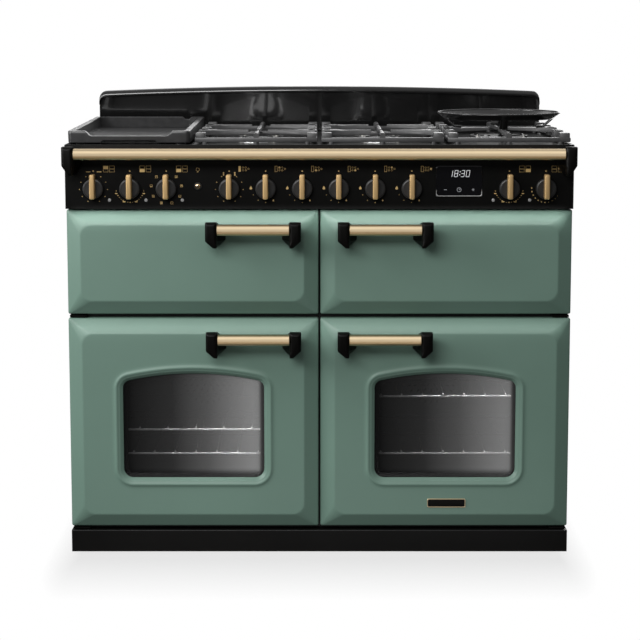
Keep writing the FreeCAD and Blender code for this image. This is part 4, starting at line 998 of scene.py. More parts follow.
def ink(name, polygons, material, y):
    """Flat print that looks forward, on a piece that stays still."""
    points = []
    faces = []
    for polygon in polygons:
        faces.append(tuple(range(len(points), len(points) + len(polygon))))
        points += [(x, y, z) for x, z in polygon]
    mesh = bpy.data.meshes.new(name)
    mesh.from_pydata(points, [], faces)
    turned = [face for face in mesh.polygons if face.normal.y > 0]
    for face in turned:
        face.flip()
    put(name, mesh, [material], "carcass")


def oven_map(x, z, column, row):
    """Four compartments as boxes, with the one that the knob heats filled in."""
    marks = []
    for c in (0, 1):
        for r in (0, 1):
            place = (x + OVEN_MAP[0] + c * OVEN_MAP_PITCH[0], z + OVEN_MAP[1] + r * OVEN_MAP_PITCH[1])
            filled = (c, r) == (column, row)
            marks += dash(*place, *OVEN_MAP_FILLED) if filled else outlined(*place, *OVEN_MAP_OPEN)
    return marks


def hob_map(x, z, chosen):
    """Hob seen from above: griddle, four burners and the wok burner, with the chosen one filled in."""
    middle = z + HOB_MAP_Z
    across, width, height = HOB_MAP_GRIDDLE
    if chosen == "griddle":
        marks = dash(x + across, middle, width, height)
    else:
        marks = outlined(x + across, middle, width, height, 0.6 * MM)
    for name, (across, up) in HOB_MAP_BURNERS.items():
        place = (x + across * MM, middle + up * MM)
        marks += disc(*place, 2.2 * MM) if name == chosen else hoop(*place, 1.6 * MM, 0.5 * MM, 12)
    return marks


def level_dashes(x, z):
    """Thin and thick dash either side of the top of a dial."""
    up = z + 36 * MM
    return dash(x - 10.5 * MM, up, 10 * MM, 0.9 * MM) + dash(x + 12.5 * MM, up, 10 * MM, 1.7 * MM)


def level_pairs(x, z):
    """Pair of marks, one over the other, either side of the top of a dial."""
    marks = []
    for across, size in ((-12 * MM, 2.4 * MM), (12 * MM, 3 * MM)):
        for up in (33.6 * MM, 29.4 * MM):
            marks += dash(x + across, z + up, size, size)
    return marks


def level_dots(x, z):
    """Row of dots down either side of a dial."""
    marks = []
    for step in range(5):
        for angle in (122 + DOT_STEP * step, 58 - DOT_STEP * step):
            marks += disc(*around(x, z, angle), 0.85 * MM, 10)
    return marks


def heat_scale(x, z):
    """Fine scale round the lower half of a thermostat dial, with dashes at the ends."""
    marks = []
    for step in range(13):
        size = 1.0 if step % 3 == 0 else 0.65
        marks += disc(*around(x, z, 210 + 10 * step), size * MM, 10)
    for angle in (200, 245, 295, 340):
        place = around(x, z, angle, DIAL + 1.5 * MM)
        marks += dash(*place, 5 * MM, 1.8 * MM)
    for angle in (190, 350):
        marks += disc(*around(x, z, angle), 0.8 * MM, 10)
    return marks


def function_signs(x, z):
    """Eight small oven signs round a dial, each with a different stroke inside."""
    marks = []
    for step in range(8):
        place = around(x, z, 130 + 40 * step, 33 * MM)
        marks += outlined(*place, SIGN_SIDE, SIGN_SIDE, 0.5 * MM)
        if step % 2:
            marks += dash(place[0], place[1] - 1.4 * MM, 2.8 * MM, 0.6 * MM)
        if step % 3 == 0:
            marks += dash(place[0], place[1] + 1.4 * MM, 2.8 * MM, 0.6 * MM)
        if step % 4 > 1:
            marks += hoop(*place, 1.0 * MM, 0.4 * MM, 10)
    return marks


def flame_dial(x, z):
    """Large flame, falling dots and a small flame of a gas knob."""
    marks = flame(*around(x, z, 177, 32 * MM), 7.5 * MM) + flame(*around(x, z, 303), 4.4 * MM)
    for angle in (207, 237, 270):
        marks += disc(*around(x, z, angle), 0.8 * MM, 10)
    return marks


def fading_dots(x, z):
    """Row of dots that grow smaller round the dial."""
    marks = []
    for step in range(11):
        marks += disc(*around(x, z, 178 + 15 * step), (1.5 - 0.1 * step) * MM, 10)
    return marks


DIALS = {
    "grill_knob": lambda x, z: level_dashes(x, z) + level_dots(x, z) + oven_map(x, z, 0, 1),
    "left_oven_knob": lambda x, z: heat_scale(x, z) + oven_map(x, z, 0, 0),
    "oven_function_knob": lambda x, z: function_signs(x, z) + oven_map(x, z, 0, 0),
    "griddle_knob": lambda x, z: level_pairs(x, z) + level_dots(x, z) + hob_map(x, z, "griddle"),
    "right_oven_knob": lambda x, z: heat_scale(x, z) + oven_map(x, z, 1, 0),
    "drawer_knob": lambda x, z: fading_dots(x, z) + oven_map(x - 9 * MM, z, 1, 1),
}
BURNER_KNOB = "_burner_knob"
OFF_DOT_UP = 37.5 * MM
BULB_UP = 36 * MM

legends = []
for name in KNOBS:
    x, _, z = knob_centre(name)
    legends += disc(x, z + OFF_DOT_UP, 1.4 * MM)
    if name.endswith(BURNER_KNOB):
        legends += flame_dial(x, z) + hob_map(x, z, name.removesuffix(BURNER_KNOB))
    else:
        legends += DIALS[name](x, z)
bulb_z = button_z + BULB_UP
legends += hoop(button_x, bulb_z, 3.6 * MM, 0.4 * MM) + dash(button_x, bulb_z - 5.2 * MM, 2.6 * MM, 1.2 * MM)
ink("fascia_legends", legends, gold_ink, FASCIA_Y - INK_LIFT)
print("legend marks", len(legends))

# %% [markdown]
# The clock is a sheet of black glass with a silver lower edge that turns up at the corners. Its figures are
# the seven-segment kind: each one is a choice from the same seven strokes, leaning to the right.

# %% Clock
clock_low, clock_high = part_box("clock_display")
CLOCK_X = (clock_low.x + clock_high.x) / 2
CLOCK_Z = (clock_low.z + clock_high.z) / 2
CLOCK_CORNER = 5 * MM
GLASS_EASE = 0.6 * MM
BEZEL_RISE = 14 * MM
BEZEL_TAPER = 11 * MM
BEZEL_HALF = 1.3 * MM
BEZEL_INSET = 0.8 * MM
BEZEL_STEPS = 8
BEZEL_THINNEST = 0.12
TIME_UP = 9.5 * MM
SIGNS_DOWN = 18.5 * MM
SIGN_LINE = 1.1 * MM
DIGIT_HEIGHT = 13.5 * MM
DIGIT_WIDTH = 6.6 * MM
DIGIT_STROKE = 0.85 * MM
DIGIT_LEAN = 0.16
SEGMENTS = {"0": "abcdef", "1": "bc", "3": "abcdg", "8": "abcdefg"}


def clock_mesh():
    """Glass panel with rounded corners and an eased front edge."""
    steps = ((0, clock_high.y), (0, clock_low.y + GLASS_EASE), (GLASS_EASE, clock_low.y))
    rings = [rect_ring(clock_low.x, clock_high.x, clock_low.z, clock_high.z, inset, CLOCK_CORNER - inset, y)
             for inset, y in steps]
    return ring_mesh("clock_glass", rings, True, True)


def bezel_mesh():
    """Silver strip along the lower edge, tapering away at the corners."""
    bend_z = clock_low.z + CLOCK_CORNER
    end_z = clock_low.z + BEZEL_RISE
    left = [(clock_low.x, end_z), (clock_low.x, bend_z)]
    low_left = arc_points(clock_low.x + CLOCK_CORNER, bend_z, CLOCK_CORNER, 180, 90, 8)
    low_right = arc_points(clock_high.x - CLOCK_CORNER, bend_z, CLOCK_CORNER, 270, 90, 8)
    path = left + low_left[1:] + low_right + [(clock_high.x, end_z)]
    rings = []
    for x, z in path:
        share = max(BEZEL_THINNEST, 1.0 - (z - clock_low.z) / BEZEL_TAPER)
        half = BEZEL_HALF * share
        inward = Vector((CLOCK_X - x, 0, CLOCK_Z - z)).normalized()
        centre = Vector((x, clock_low.y, z)) + inward * BEZEL_INSET
        ring = []
        for angle in full_turn(BEZEL_STEPS):
            depth = Vector((0, half * 0.6 * math.sin(angle), 0))
            ring.append(tuple(centre + inward * half * math.cos(angle) + depth))
        rings.append(ring)
    return ring_mesh("bezel", rings, True, True)


def stroke(x0, z0, x1, z1, width):
    """Stroke with pointed ends between two places."""
    along = Vector((x1 - x0, z1 - z0))
    step = along.normalized() * width / 2
    side = Vector((-step.y, step.x))
    ends = [Vector((x0, z0)), Vector((x1, z1))]
    corners = [ends[0], ends[0] + step + side, ends[1] - step + side, ends[1], ends[1] - step - side,
               ends[0] + step - side]
    return [(corner.x, corner.y) for corner in corners]


def figure(x, z, value):
    """Seven-segment figure whose lower left corner is given."""
    w = DIGIT_WIDTH
    h = DIGIT_HEIGHT
    ends = {"a": (0, h, w, h), "b": (w, h / 2, w, h), "c": (w, 0, w, h / 2), "d": (0, 0, w, 0),
            "e": (0, 0, 0, h / 2), "f": (0, h / 2, 0, h), "g": (0, h / 2, w, h / 2)}
    return [[(x + px + DIGIT_LEAN * pz, z + pz) for px, pz in stroke(*ends[segment], DIGIT_STROKE)]
            for segment in SEGMENTS[value]]


clock_glass = put("clock_glass", clock_mesh(), [panel_glass], "carcass")
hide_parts("clock_display")
put("clock_bezel", bezel_mesh(), [bezel_silver], "carcass", math.radians(60))

time_z = CLOCK_Z + TIME_UP
time_marks = []
for value, across in zip("1830", (-22.5, -11.0, 3.2, 14.2)):
    time_marks += figure(CLOCK_X + across * MM, time_z, value)
for up in (4.2, 10.6):
    time_marks += disc(CLOCK_X + (0.2 + DIGIT_LEAN * up) * MM, time_z + up * MM, 1.0 * MM, 10)
ink("clock_figures", time_marks, digit_white, clock_low.y - INK_LIFT)

sign_z = CLOCK_Z - SIGNS_DOWN
plus_x = CLOCK_X + 30 * MM
signs = dash(CLOCK_X - 29.5 * MM, sign_z, 6 * MM, SIGN_LINE)
signs += dash(plus_x, sign_z, 5.6 * MM, SIGN_LINE) + dash(plus_x, sign_z, SIGN_LINE, 5.6 * MM)
signs += hoop(CLOCK_X, sign_z, 4.4 * MM, 0.9 * MM, 24) + dash(CLOCK_X, sign_z + 1.4 * MM, 0.8 * MM, 3.4 * MM)
signs += dash(CLOCK_X + 1.2 * MM, sign_z, 2.6 * MM, 0.8 * MM)
ink("clock_signs", signs, sign_white, clock_low.y - INK_LIFT)
print("clock figures", len(time_marks))

# %% [markdown]
# A small plate is fixed low on the right door: a black field in a thin brass rim, left plain.

# %% Plate on the right door
PLATE_X = 278 * MM
PLATE_Z = 120 * MM
PLATE_HALF_WIDTH = 42 * MM
PLATE_HALF_HEIGHT = 9.8 * MM
PLATE_CORNER = 3.2 * MM
RIM_STEPS = ((0, 0), (0, 1.4 * MM), (0.4 * MM, 1.8 * MM), (1.4 * MM, 1.8 * MM), (1.8 * MM, 1.3 * MM))
FIELD_STEPS = ((1.7 * MM, 1.3 * MM), (2.4 * MM, 1.45 * MM))


def plate_mesh(name, steps):
    """Stack of rounded outlines on the door's flat, given as inset and lift."""
    left, right = PLATE_X - PLATE_HALF_WIDTH, PLATE_X + PLATE_HALF_WIDTH
    foot, top = PLATE_Z - PLATE_HALF_HEIGHT, PLATE_Z + PLATE_HALF_HEIGHT
    rings = [rect_ring(left, right, foot, top, inset, PLATE_CORNER - inset * 0.6, FLAT_Y - lift, 5)
             for inset, lift in steps]
    mesh = ring_mesh(name, rings, False, True)
    face_camera_side(mesh)
    return mesh


rim = put("plate_rim", plate_mesh("plate_rim", RIM_STEPS), [brass], "right_door")
put("plate_field", plate_mesh("plate_field", FIELD_STEPS), [bracket_black], "right_door")
print("plate at", PLATE_X, PLATE_Z)

# %% [markdown]
# The pan supports are sand castings, and a casting has no sharp edge and no even thickness. Each finger
# is lofted from sections that shrink towards the flame: wide and deep at the frame, thin at the tip, with
# hollow flanks. The frame itself is made of softened bars and teeth that sink into each other.

# %% Pan supports
CAST_EASE = 2.2 * MM
BAR = 12 * MM
RAIL_RISE = 17 * MM
SUPPORT_UNDER = 7 * MM
TOOTH = (22 * MM, 40 * MM)
TEETH = 5
SET_BACK = 0.7 * MM
TOOTH_SET_BACK = 3 * MM
FINGER_GAP = 22 * MM
FINGER_ROOT = 58 * MM
SPINE_ROOT = 12 * MM
TIP_WIDTH = 8 * MM
FLANK_CURVE = 2.4
ROOT_DEPTH = 11 * MM
TIP_DEPTH = 7 * MM


def cast_section(place, across, half, under, top):
    """Closed section of a cast bar, with its two upper edges softened."""
    ease = half * 0.75 if half < SPINE_ROOT else CAST_EASE
    shoulder = [(half, top - ease), (half - ease * 0.3, top - ease * 0.3), (half - ease, top)]
    side = [(half, under)] + shoulder
    outline = side + [(-offset, height) for offset, height in reversed(side)]
    return [(place.x + across.x * offset, place.y + across.y * offset, height) for offset, height in outline]


def finger_mesh(root, tip, root_width, top, steps=10):
    """Cast finger between two plan points: hollow flanks and an underside that rises to the tip."""
    along = (tip - root).normalized()
    across = Vector((-along.y, along.x, 0))
    rings = []
    for step in range(steps + 1):
        part = step / steps
        width = TIP_WIDTH + (root_width - TIP_WIDTH) * (1 - part) ** FLANK_CURVE
        under = top - ROOT_DEPTH + (ROOT_DEPTH - TIP_DEPTH) * part
        rings.append(cast_section(root.lerp(tip, part), across, width / 2, under, top))
    return ring_mesh("finger", rings, close_first=True, close_last=True)


def support_mesh(name, burner_ys):
    """One pan support: frame, teeth, feet and the fingers towards its burners."""
    (x0, y0, floor), (x1, y1, top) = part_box(name)
    x = (x0 + x1) / 2
    low = floor + SUPPORT_UNDER
    rail_top = floor + RAIL_RISE
    side_low = low + SET_BACK
    side_top = rail_top - SET_BACK
    bars = [((x0, y0, low), (x1, y0 + BAR, rail_top)), ((x0, y1 - BAR, low), (x1, y1, rail_top))]
    for edge, inward in ((x0 + SET_BACK, 1), (x1 - SET_BACK, -1)):
        across = sorted((edge, edge + inward * BAR))
        bars.append(((across[0], y0 + SET_BACK, side_low), (across[1], y1 - SET_BACK, side_top)))
        across = sorted((edge + inward * SET_BACK, edge + inward * TOOTH[0]))
        pitch = (y1 - y0 - TOOTH[1]) / (TEETH - 1)
        for number in range(TEETH):
            start = y0 + number * pitch + TOOTH_SET_BACK
            end = start + TOOTH[1] - 2 * TOOTH_SET_BACK
            bars.append(((across[0], start, side_low + SET_BACK), (across[1], end, top)))
    middle = (y0 + y1) / 2
    if len(burner_ys) > 1:
        bars.append(((x0 + TOOTH[0] / 2, middle - BAR / 2, side_low + SET_BACK),
                     (x1 - TOOTH[0] / 2, middle + BAR / 2, side_top - SET_BACK)))
    meshes = [block("bar", *bar, CAST_EASE) for bar in bars]
    foot_profile = [(BAR * 0.42, floor), (BAR / 2, floor + 1 * MM), (BAR / 2, low + 1 * MM)]
    for foot_x in (x0 + TOOTH[0], x, x1 - TOOTH[0]):
        for foot_y in (y0 + BAR / 2, y1 - BAR / 2):
            meshes.append(lathe("foot", foot_profile, (foot_x, foot_y, 0), "Z", 12))

    def finger(from_x, from_y, to_x, to_y, root_width):
        meshes.append(finger_mesh(Vector((from_x, from_y, 0)), Vector((to_x, to_y, 0)), root_width, top))

    for y in burner_ys:
        finger(x0 + BAR / 2, y, x - FINGER_GAP, y, FINGER_ROOT)
        finger(x1 - BAR / 2, y, x + FINGER_GAP, y, FINGER_ROOT)
        if len(burner_ys) > 1:
            towards = FINGER_GAP if y < middle else -FINGER_GAP
            finger(x, middle, x, y + towards, SPINE_ROOT)
    finger(x, y0 + 1 * MM, x, burner_ys[0] - FINGER_GAP, SPINE_ROOT)
    finger(x, y1 - 1 * MM, x, burner_ys[-1] + FINGER_GAP, SPINE_ROOT)
    return joined(name, meshes)


support_low, support_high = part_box("wok_pan_support")
HOB_MIDDLE_Y = (support_low.y + support_high.y) / 2
BURNER_STEP = (support_high.y - support_low.y - TOOTH[1]) / (TEETH - 1)
PAIR = (HOB_MIDDLE_Y - BURNER_STEP, HOB_MIDDLE_Y + BURNER_STEP)
SUPPORTS = {"left_pan_support": PAIR, "centre_pan_support": PAIR, "wok_pan_support": (HOB_MIDDLE_Y,)}
for support, burner_ys in SUPPORTS.items():
    piece = put(support + "_cast", support_mesh(support, burner_ys), [cast_iron], support)
    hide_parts(support)
    light_as_iron(piece)
print("pan supports", len(SUPPORTS))

# %% [markdown]
# The griddle is a cast tray. It is one stack of rings again, from the outside of the foot over the rim and
# down into the well. The rim height is a function of the place along the edge, and that gives the dipped
# front wall and the small pouring notch at the rear without any cutting. The well has a dull coating, so its
# faces get a second material; the bare iron of the rim is smoother and catches a line of light.

# %% Griddle
RIM_WIDTH = 13 * MM
REAR_RISE = 7 * MM
DIP = 11 * MM
DIP_SLOPE = 12 * MM
DIP_INSET = 50 * MM
POUR = 6 * MM
UNDERCUT = 5 * MM
UNDERCUT_INSET = 73 * MM
POUR_SPAN = (36 * MM, 46 * MM)
POUR_SLOPE = 5 * MM
FOOT_INSET = 22 * MM
LIFT = 10 * MM
SKIRT_LIFT = 6 * MM
FLOOR_THICK = 3.5 * MM
griddle_low, griddle_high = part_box("griddle")


def step_between(value, low, high, slope):
    """Smooth 0 to 1 to 0 along an edge, with slopes outside the span."""
    rise = min(1.0, max(0.0, (value - low + slope) / slope))
    fall = min(1.0, max(0.0, (high + slope - value) / slope))
    part = min(rise, fall)
    return part * part * (3 - 2 * part)


def griddle_outline(inset, radius):
    """Plan of the griddle drawn in by an inset, with extra points where the front and rear walls dip."""
    x0, x1 = griddle_low.x + inset, griddle_high.x - inset
    y0, y1 = griddle_low.y + inset, griddle_high.y - inset
    corners = round_rect(x0, x1, y0, y1, radius)
    quarter = len(corners) // 4
    span = griddle_high.x - griddle_low.x - 2 * (DIP_INSET - DIP_SLOPE)
    start = griddle_low.x + DIP_INSET - DIP_SLOPE
    front = [(start + span * step / 40, y0) for step in range(41)]
    rear = [(x, y1) for x, _ in reversed(front)]
    return corners[:quarter] + front + corners[quarter:3 * quarter] + rear + corners[3 * quarter:]


def griddle_ring(inset, radius, height, dips=0.0, lifts=0.0):
    """Outline at a height: the rim rises to the rear, dips in front and clears the front undercut."""
    ring = []
    for x, y in griddle_outline(inset, radius):
        z = height + dips * REAR_RISE * (y - griddle_low.y) / (griddle_high.y - griddle_low.y)
        left = x - griddle_low.x
        right = griddle_high.x - x
        along = griddle_high.x - griddle_low.x
        if y < griddle_low.y + 2.2 * RIM_WIDTH:
            z -= dips * DIP * step_between(left, DIP_INSET, along - DIP_INSET, DIP_SLOPE)
            z += lifts * step_between(left, UNDERCUT_INSET, along - UNDERCUT_INSET, 1 * MM)
        elif y > griddle_high.y - 2.2 * RIM_WIDTH:
            z -= dips * POUR * step_between(right, *POUR_SPAN, POUR_SLOPE)
        ring.append((x, y, z))
    return ring


base_z = griddle_low.z + LIFT
well_z = base_z + FLOOR_THICK
rim_z = griddle_high.z
skirt_z = griddle_low.z + SKIRT_LIFT
# The rows below hold an inset, a corner radius and a height over the skirt, under the rim or over the well.
SKIRT_ROWS = ((9, 8, 0), (2, 9, 0), (0.5, 10, 1.5))
RIM_OUTER_ROWS = ((0.2, 10, 1.6), (0.7, 10, 0.5), (1.8, 9, 0.1), (2.8, 9, 0))
RIM_INNER_ROWS = ((-2.4, 19, 0), (-1.4, 20, 0.1), (-0.4, 21, 0.6), (0.2, 22, 1.8), (0.4, 22, 2.8))
WELL_ROWS = ((2.2, 24, 3), (2.6, 24, 2), (3.6, 25, 0.7), (5.4, 26, 0.1), (8, 26, 0))
griddle_rings = [griddle_ring(16 * MM, 6 * MM, base_z)]
for inset, radius, up in SKIRT_ROWS:
    griddle_rings.append(griddle_ring(inset * MM, radius * MM, skirt_z + up * MM, lifts=UNDERCUT))
griddle_rings.append(griddle_ring(0, 10 * MM, rim_z - 6 * MM, dips=0.55))
for inset, radius, down in RIM_OUTER_ROWS:
    griddle_rings.append(griddle_ring(inset * MM, radius * MM, rim_z - down * MM, dips=1))
for inset, radius, down in RIM_INNER_ROWS:
    griddle_rings.append(griddle_ring(RIM_WIDTH + inset * MM, radius * MM, rim_z - down * MM, dips=1))
for inset, radius, up in WELL_ROWS:
    griddle_rings.append(griddle_ring(RIM_WIDTH + inset * MM, radius * MM, well_z + up * MM))
tray = ring_mesh("tray", griddle_rings, close_first=True, close_last=True)
for face in tray.polygons:
    x, y, z = face.center
    inside_x = griddle_low.x + RIM_WIDTH < x < griddle_high.x - RIM_WIDTH
    inside_y = griddle_low.y + RIM_WIDTH < y < griddle_high.y - RIM_WIDTH
    face.material_index = int(inside_x and inside_y and z > well_z - 1 * MM)
griddle_meshes = [tray]
foot_profile = [(9 * MM, griddle_low.z), (11 * MM, griddle_low.z + 1.5 * MM), (11 * MM, base_z + 1 * MM)]
for foot_x in (griddle_low.x + FOOT_INSET, griddle_high.x - FOOT_INSET):
    for foot_y in (griddle_low.y + FOOT_INSET, griddle_high.y - FOOT_INSET):
        griddle_meshes.append(lathe("foot", foot_profile, (foot_x, foot_y, 0), "Z", 20))
griddle_mesh = joined("griddle_cast", griddle_meshes)
piece = put("griddle_cast", griddle_mesh, [griddle_iron, griddle_coat], "griddle")
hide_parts("griddle")
light_as_iron(piece)
print("griddle rings", len(griddle_rings))

# %% [markdown]
# The wok cradle is a pressed ring on four bent straps. The ring is turned from its profile, with a
# rolled rim that catches a thin line of light. Each strap is a short loft of rounded sections.

# %% Wok cradle
RIM_ROLL = 2.6 * MM
cradle_low, cradle_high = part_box("wok_cradle")
CRADLE_CENTRE = ((cradle_low.x + cradle_high.x) / 2, (cradle_low.y + cradle_high.y) / 2, 0)
CRADLE_RADIUS = (cradle_high.x - cradle_low.x) / 2
CRADLE_FOOT = 106 * MM
BAND_HEIGHT = 15 * MM
SHEET = 4.4 * MM
STRAP_WIDTH = 18 * MM
STRAP_THICK = 4.4 * MM
STRAP_LAP = 3 * MM
STRAPS = 4
BAND_STEPS = 96
cradle_slope = (CRADLE_RADIUS - CRADLE_FOOT) / (cradle_high.z - cradle_low.z)


def cradle_profile():
    """Closed profile of the band: outer slope, rolled rim, inner slope and rounded foot."""
    rim_radius = CRADLE_RADIUS - RIM_ROLL
    rim_height = cradle_high.z - RIM_ROLL
    foot_height = cradle_high.z - BAND_HEIGHT
    foot_radius = CRADLE_RADIUS - BAND_HEIGHT * cradle_slope
    roll = arc_points(rim_radius, rim_height, RIM_ROLL, -40, 230, 10)
    return [(foot_radius, foot_height)] + roll + [(foot_radius - SHEET, foot_height + 0.6 * MM),
                                                  (foot_radius - SHEET * 0.5, foot_height - 0.8 * MM)]


def strap_mesh(turn):
    """Bent strap from the band to its foot, turned about the cradle's axis."""
    top_radius = CRADLE_RADIUS - (BAND_HEIGHT - STRAP_LAP) * cradle_slope - SHEET / 2
    path = [(top_radius, cradle_high.z - BAND_HEIGHT + STRAP_LAP),
            (CRADLE_FOOT - 1 * MM, cradle_low.z + 4.5 * MM),
            (CRADLE_FOOT - 3 * MM, cradle_low.z + 2.6 * MM),
            (CRADLE_FOOT - 7 * MM, cradle_low.z + STRAP_THICK / 2),
            (CRADLE_FOOT - 20 * MM, cradle_low.z + STRAP_THICK / 2)]
    half = STRAP_WIDTH / 2
    section = round_rect(-half, half, -STRAP_THICK / 2, STRAP_THICK / 2, STRAP_THICK * 0.45, 3)
    rings = []
    for number, (radius, height) in enumerate(path):
        before = path[max(0, number - 1)]
        after = path[min(len(path) - 1, number + 1)]
        along = Vector((after[0] - before[0], 0, after[1] - before[1])).normalized()
        normal = Vector((-along.z, 0, along.x))
        ring = []
        for across, rise in section:
            point = Vector((radius, across, height)) + normal * rise
            ring.append(tuple(Matrix.Rotation(turn, 3, "Z") @ point + Vector(CRADLE_CENTRE)))
        rings.append(ring)
    return ring_mesh("strap", rings, close_first=True, close_last=True)


band_rings = []
for angle in full_turn(BAND_STEPS):
    outward_x = math.cos(angle)
    outward_y = math.sin(angle)
    band_rings.append([(CRADLE_CENTRE[0] + radius * outward_x, CRADLE_CENTRE[1] + radius * outward_y, z)
                       for radius, z in cradle_profile()])
cradle_meshes = [ring_mesh("band", band_rings, around=True)]
cradle_meshes += [strap_mesh(turn) for turn in full_turn(STRAPS)]
piece = put("wok_cradle_ring", joined("wok_cradle_ring", cradle_meshes), [cradle_enamel], "wok_cradle")
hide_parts("wok_cradle")
print("cradle straps", STRAPS)

# %% [markdown]
# A gas burner is a cast crown with slots for the flames, under an enamelled cap. The slots repeat dozens
# of times around each crown, and that is what Geometry Nodes are for: a small tree sets one slot on every
# point of a circle and turns it outwards. The result is turned into a plain mesh before it is kept.

# %% Geometry Nodes tools
def new_tree(name, inputs):
    """Node tree with some named inputs and a material, and the node that gives their values."""
    tree = bpy.data.node_groups.new(name, "GeometryNodeTree")
    for label, kind in {"Geometry": "Geometry", **inputs, "Material": "Material"}.items():
        tree.interface.new_socket(label, in_out="INPUT", socket_type="NodeSocket" + kind)
    tree.interface.new_socket("Geometry", in_out="OUTPUT", socket_type="NodeSocketGeometry")
    return tree, tree.nodes.new("NodeGroupInput")


def scatter(tree, given, points, shape):
    """Sets a shape on every point, makes the copies real and gives them the material; returns the copier."""
    nodes = tree.nodes
    links = tree.links
    copies = nodes.new("GeometryNodeInstanceOnPoints")
    real = nodes.new("GeometryNodeRealizeInstances")
    dress = nodes.new("GeometryNodeSetMaterial")
    result = nodes.new("NodeGroupOutput")
    links.new(points.outputs["Mesh"], copies.inputs["Points"])
    links.new(shape.outputs["Mesh"], copies.inputs["Instance"])
    links.new(copies.outputs["Instances"], real.inputs["Geometry"])
    links.new(real.outputs["Geometry"], dress.inputs["Geometry"])
    links.new(given.outputs["Material"], dress.inputs["Material"])
    links.new(dress.outputs["Geometry"], result.inputs["Geometry"])
    return copies


def ring_tree():
    """Node tree that sets a small bar on each point of a circle, pointing away from the middle."""
    tree, given = new_tree("bars_on_a_ring", {"Count": "Int", "Radius": "Float", "Bar Size": "Vector"})
    nodes = tree.nodes
    links = tree.links
    circle = nodes.new("GeometryNodeMeshCircle")
    bar = nodes.new("GeometryNodeMeshCube")
    place = nodes.new("GeometryNodeInputPosition")
    turn = nodes.new("FunctionNodeAlignRotationToVector")
    turn.axis = "X"
    links.new(given.outputs["Count"], circle.inputs["Vertices"])
    links.new(given.outputs["Radius"], circle.inputs["Radius"])
    links.new(given.outputs["Bar Size"], bar.inputs["Size"])
    links.new(place.outputs["Position"], turn.inputs["Vector"])
    copies = scatter(tree, given, circle, bar)
    links.new(turn.outputs["Rotation"], copies.inputs["Rotation"])
    return tree


def grown_mesh(name, tree, values):
    """Plain mesh made by a node tree; the inputs are set by their socket identifiers."""
    carrier = bpy.data.objects.new(name, bpy.data.meshes.new(name))
    bpy.context.scene.collection.objects.link(carrier)
    modifier = carrier.modifiers.new("nodes", "NODES")
    modifier.node_group = tree
    for item in tree.interface.items_tree:
        if item.in_out == "INPUT" and item.name in values:
            modifier[item.identifier] = values[item.name]
    ready = carrier.evaluated_get(bpy.context.evaluated_depsgraph_get())
    mesh = bpy.data.meshes.new_from_object(ready)
    bpy.data.objects.remove(carrier)
    return mesh


# %% Burners
RING_BARS = ring_tree()
SLOT_SIZE = (5 * MM, 1.5 * MM, 4.2 * MM)
SLOT_SPACING = 5.2 * MM
SLOT_PROUD = 0.15 * MM
SLOT_UP = 1.2 * MM
FLANGE = 9 * MM
CAP_INSET = 9 * MM
PIN_GAP = 4 * MM
PIN_ANGLE = math.radians(40)
hob_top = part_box("burner_bodies")[0].z
cap_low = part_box("burner_caps")[0].z
cap_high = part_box("burner_caps")[1].z
SMALL_BURNER = 44 * MM
WOK_BURNER = 65 * MM


def burner_places():
    """Middle and radius of every burner, read from the supports above them."""
    places = []
    for support, burner_ys in SUPPORTS.items():
        low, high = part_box(support)
        radius = SMALL_BURNER if len(burner_ys) > 1 else WOK_BURNER
        places += [((low.x + high.x) / 2, y, radius) for y in burner_ys]
    return places


def crown_profile(radius):
    """Turned profile of a burner: spill ring, waist and crown."""
    return [(radius + FLANGE, hob_top), (radius + FLANGE, hob_top + 0.8 * MM),
            (radius + 2 * MM, hob_top + 2 * MM),
            (radius - 1 * MM, hob_top + 2.6 * MM), (radius - 1 * MM, hob_top + 3.2 * MM),
            (radius, hob_top + 3.6 * MM), (radius, cap_low - 0.6 * MM), (radius - 0.6 * MM, cap_low),
            (radius - CAP_INSET - 2 * MM, cap_low)]


def cap_profile(radius):
    """Turned profile of a cap with a rounded edge and a shallow dome."""
    edge = radius - CAP_INSET
    rise = cap_high - cap_low
    return [(edge, cap_low), (edge, cap_low + rise * 0.4), (edge - 0.6 * MM, cap_low + rise * 0.62),
            (edge - 2.2 * MM, cap_low + rise * 0.8), (edge * 0.6, cap_low + rise * 0.95), (0, cap_high)]


crowns = []
caps = []
slots = []
electrodes = []
pin_profile = [(2.6 * MM, hob_top), (2.6 * MM, hob_top + 7 * MM), (1.8 * MM, hob_top + 9 * MM),
               (1.0 * MM, hob_top + 9 * MM), (1.0 * MM, hob_top + 13 * MM), (0, hob_top + 13.6 * MM)]
# Each flame slot is a thin black bar just proud of the crown: painted shade in place of an opening.
for x, y, radius in burner_places():
    crowns.append(lathe("crown", crown_profile(radius), (x, y, 0), "Z", 64))
    caps.append(lathe("cap", cap_profile(radius), (x, y, 0), "Z", 64))
    count = int(2 * math.pi * radius / SLOT_SPACING)
    middle = radius - SLOT_SIZE[0] / 2 + SLOT_PROUD
    ring = grown_mesh("slots", RING_BARS, {"Count": count, "Bar Size": SLOT_SIZE, "Radius": middle,
                                           "Material": painted_slot_shade})
    ring.transform(Matrix.Translation((x, y, (hob_top + cap_low) / 2 + SLOT_UP)))
    slots.append(ring)
    for side in (-1, 1):
        pin_x = x + side * (radius + PIN_GAP) * math.cos(PIN_ANGLE)
        pin_y = y - (radius + PIN_GAP) * math.sin(PIN_ANGLE)
        electrodes.append(lathe("pin", pin_profile, (pin_x, pin_y, 0), "Z", 14))
crown_piece = put("burner_crowns", joined("burner_crowns", crowns), [burner_alloy], "carcass")
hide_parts("burner_bodies")
cap_piece = put("burner_lids", joined("burner_lids", caps), [black_enamel], "carcass")
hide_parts("burner_caps")
slot_piece = put("flame_slots", joined("flame_slots", slots), [painted_slot_shade], "carcass")
pin_piece = put("ignition_pins", joined("ignition_pins", electrodes), [pin_ceramic], "carcass")
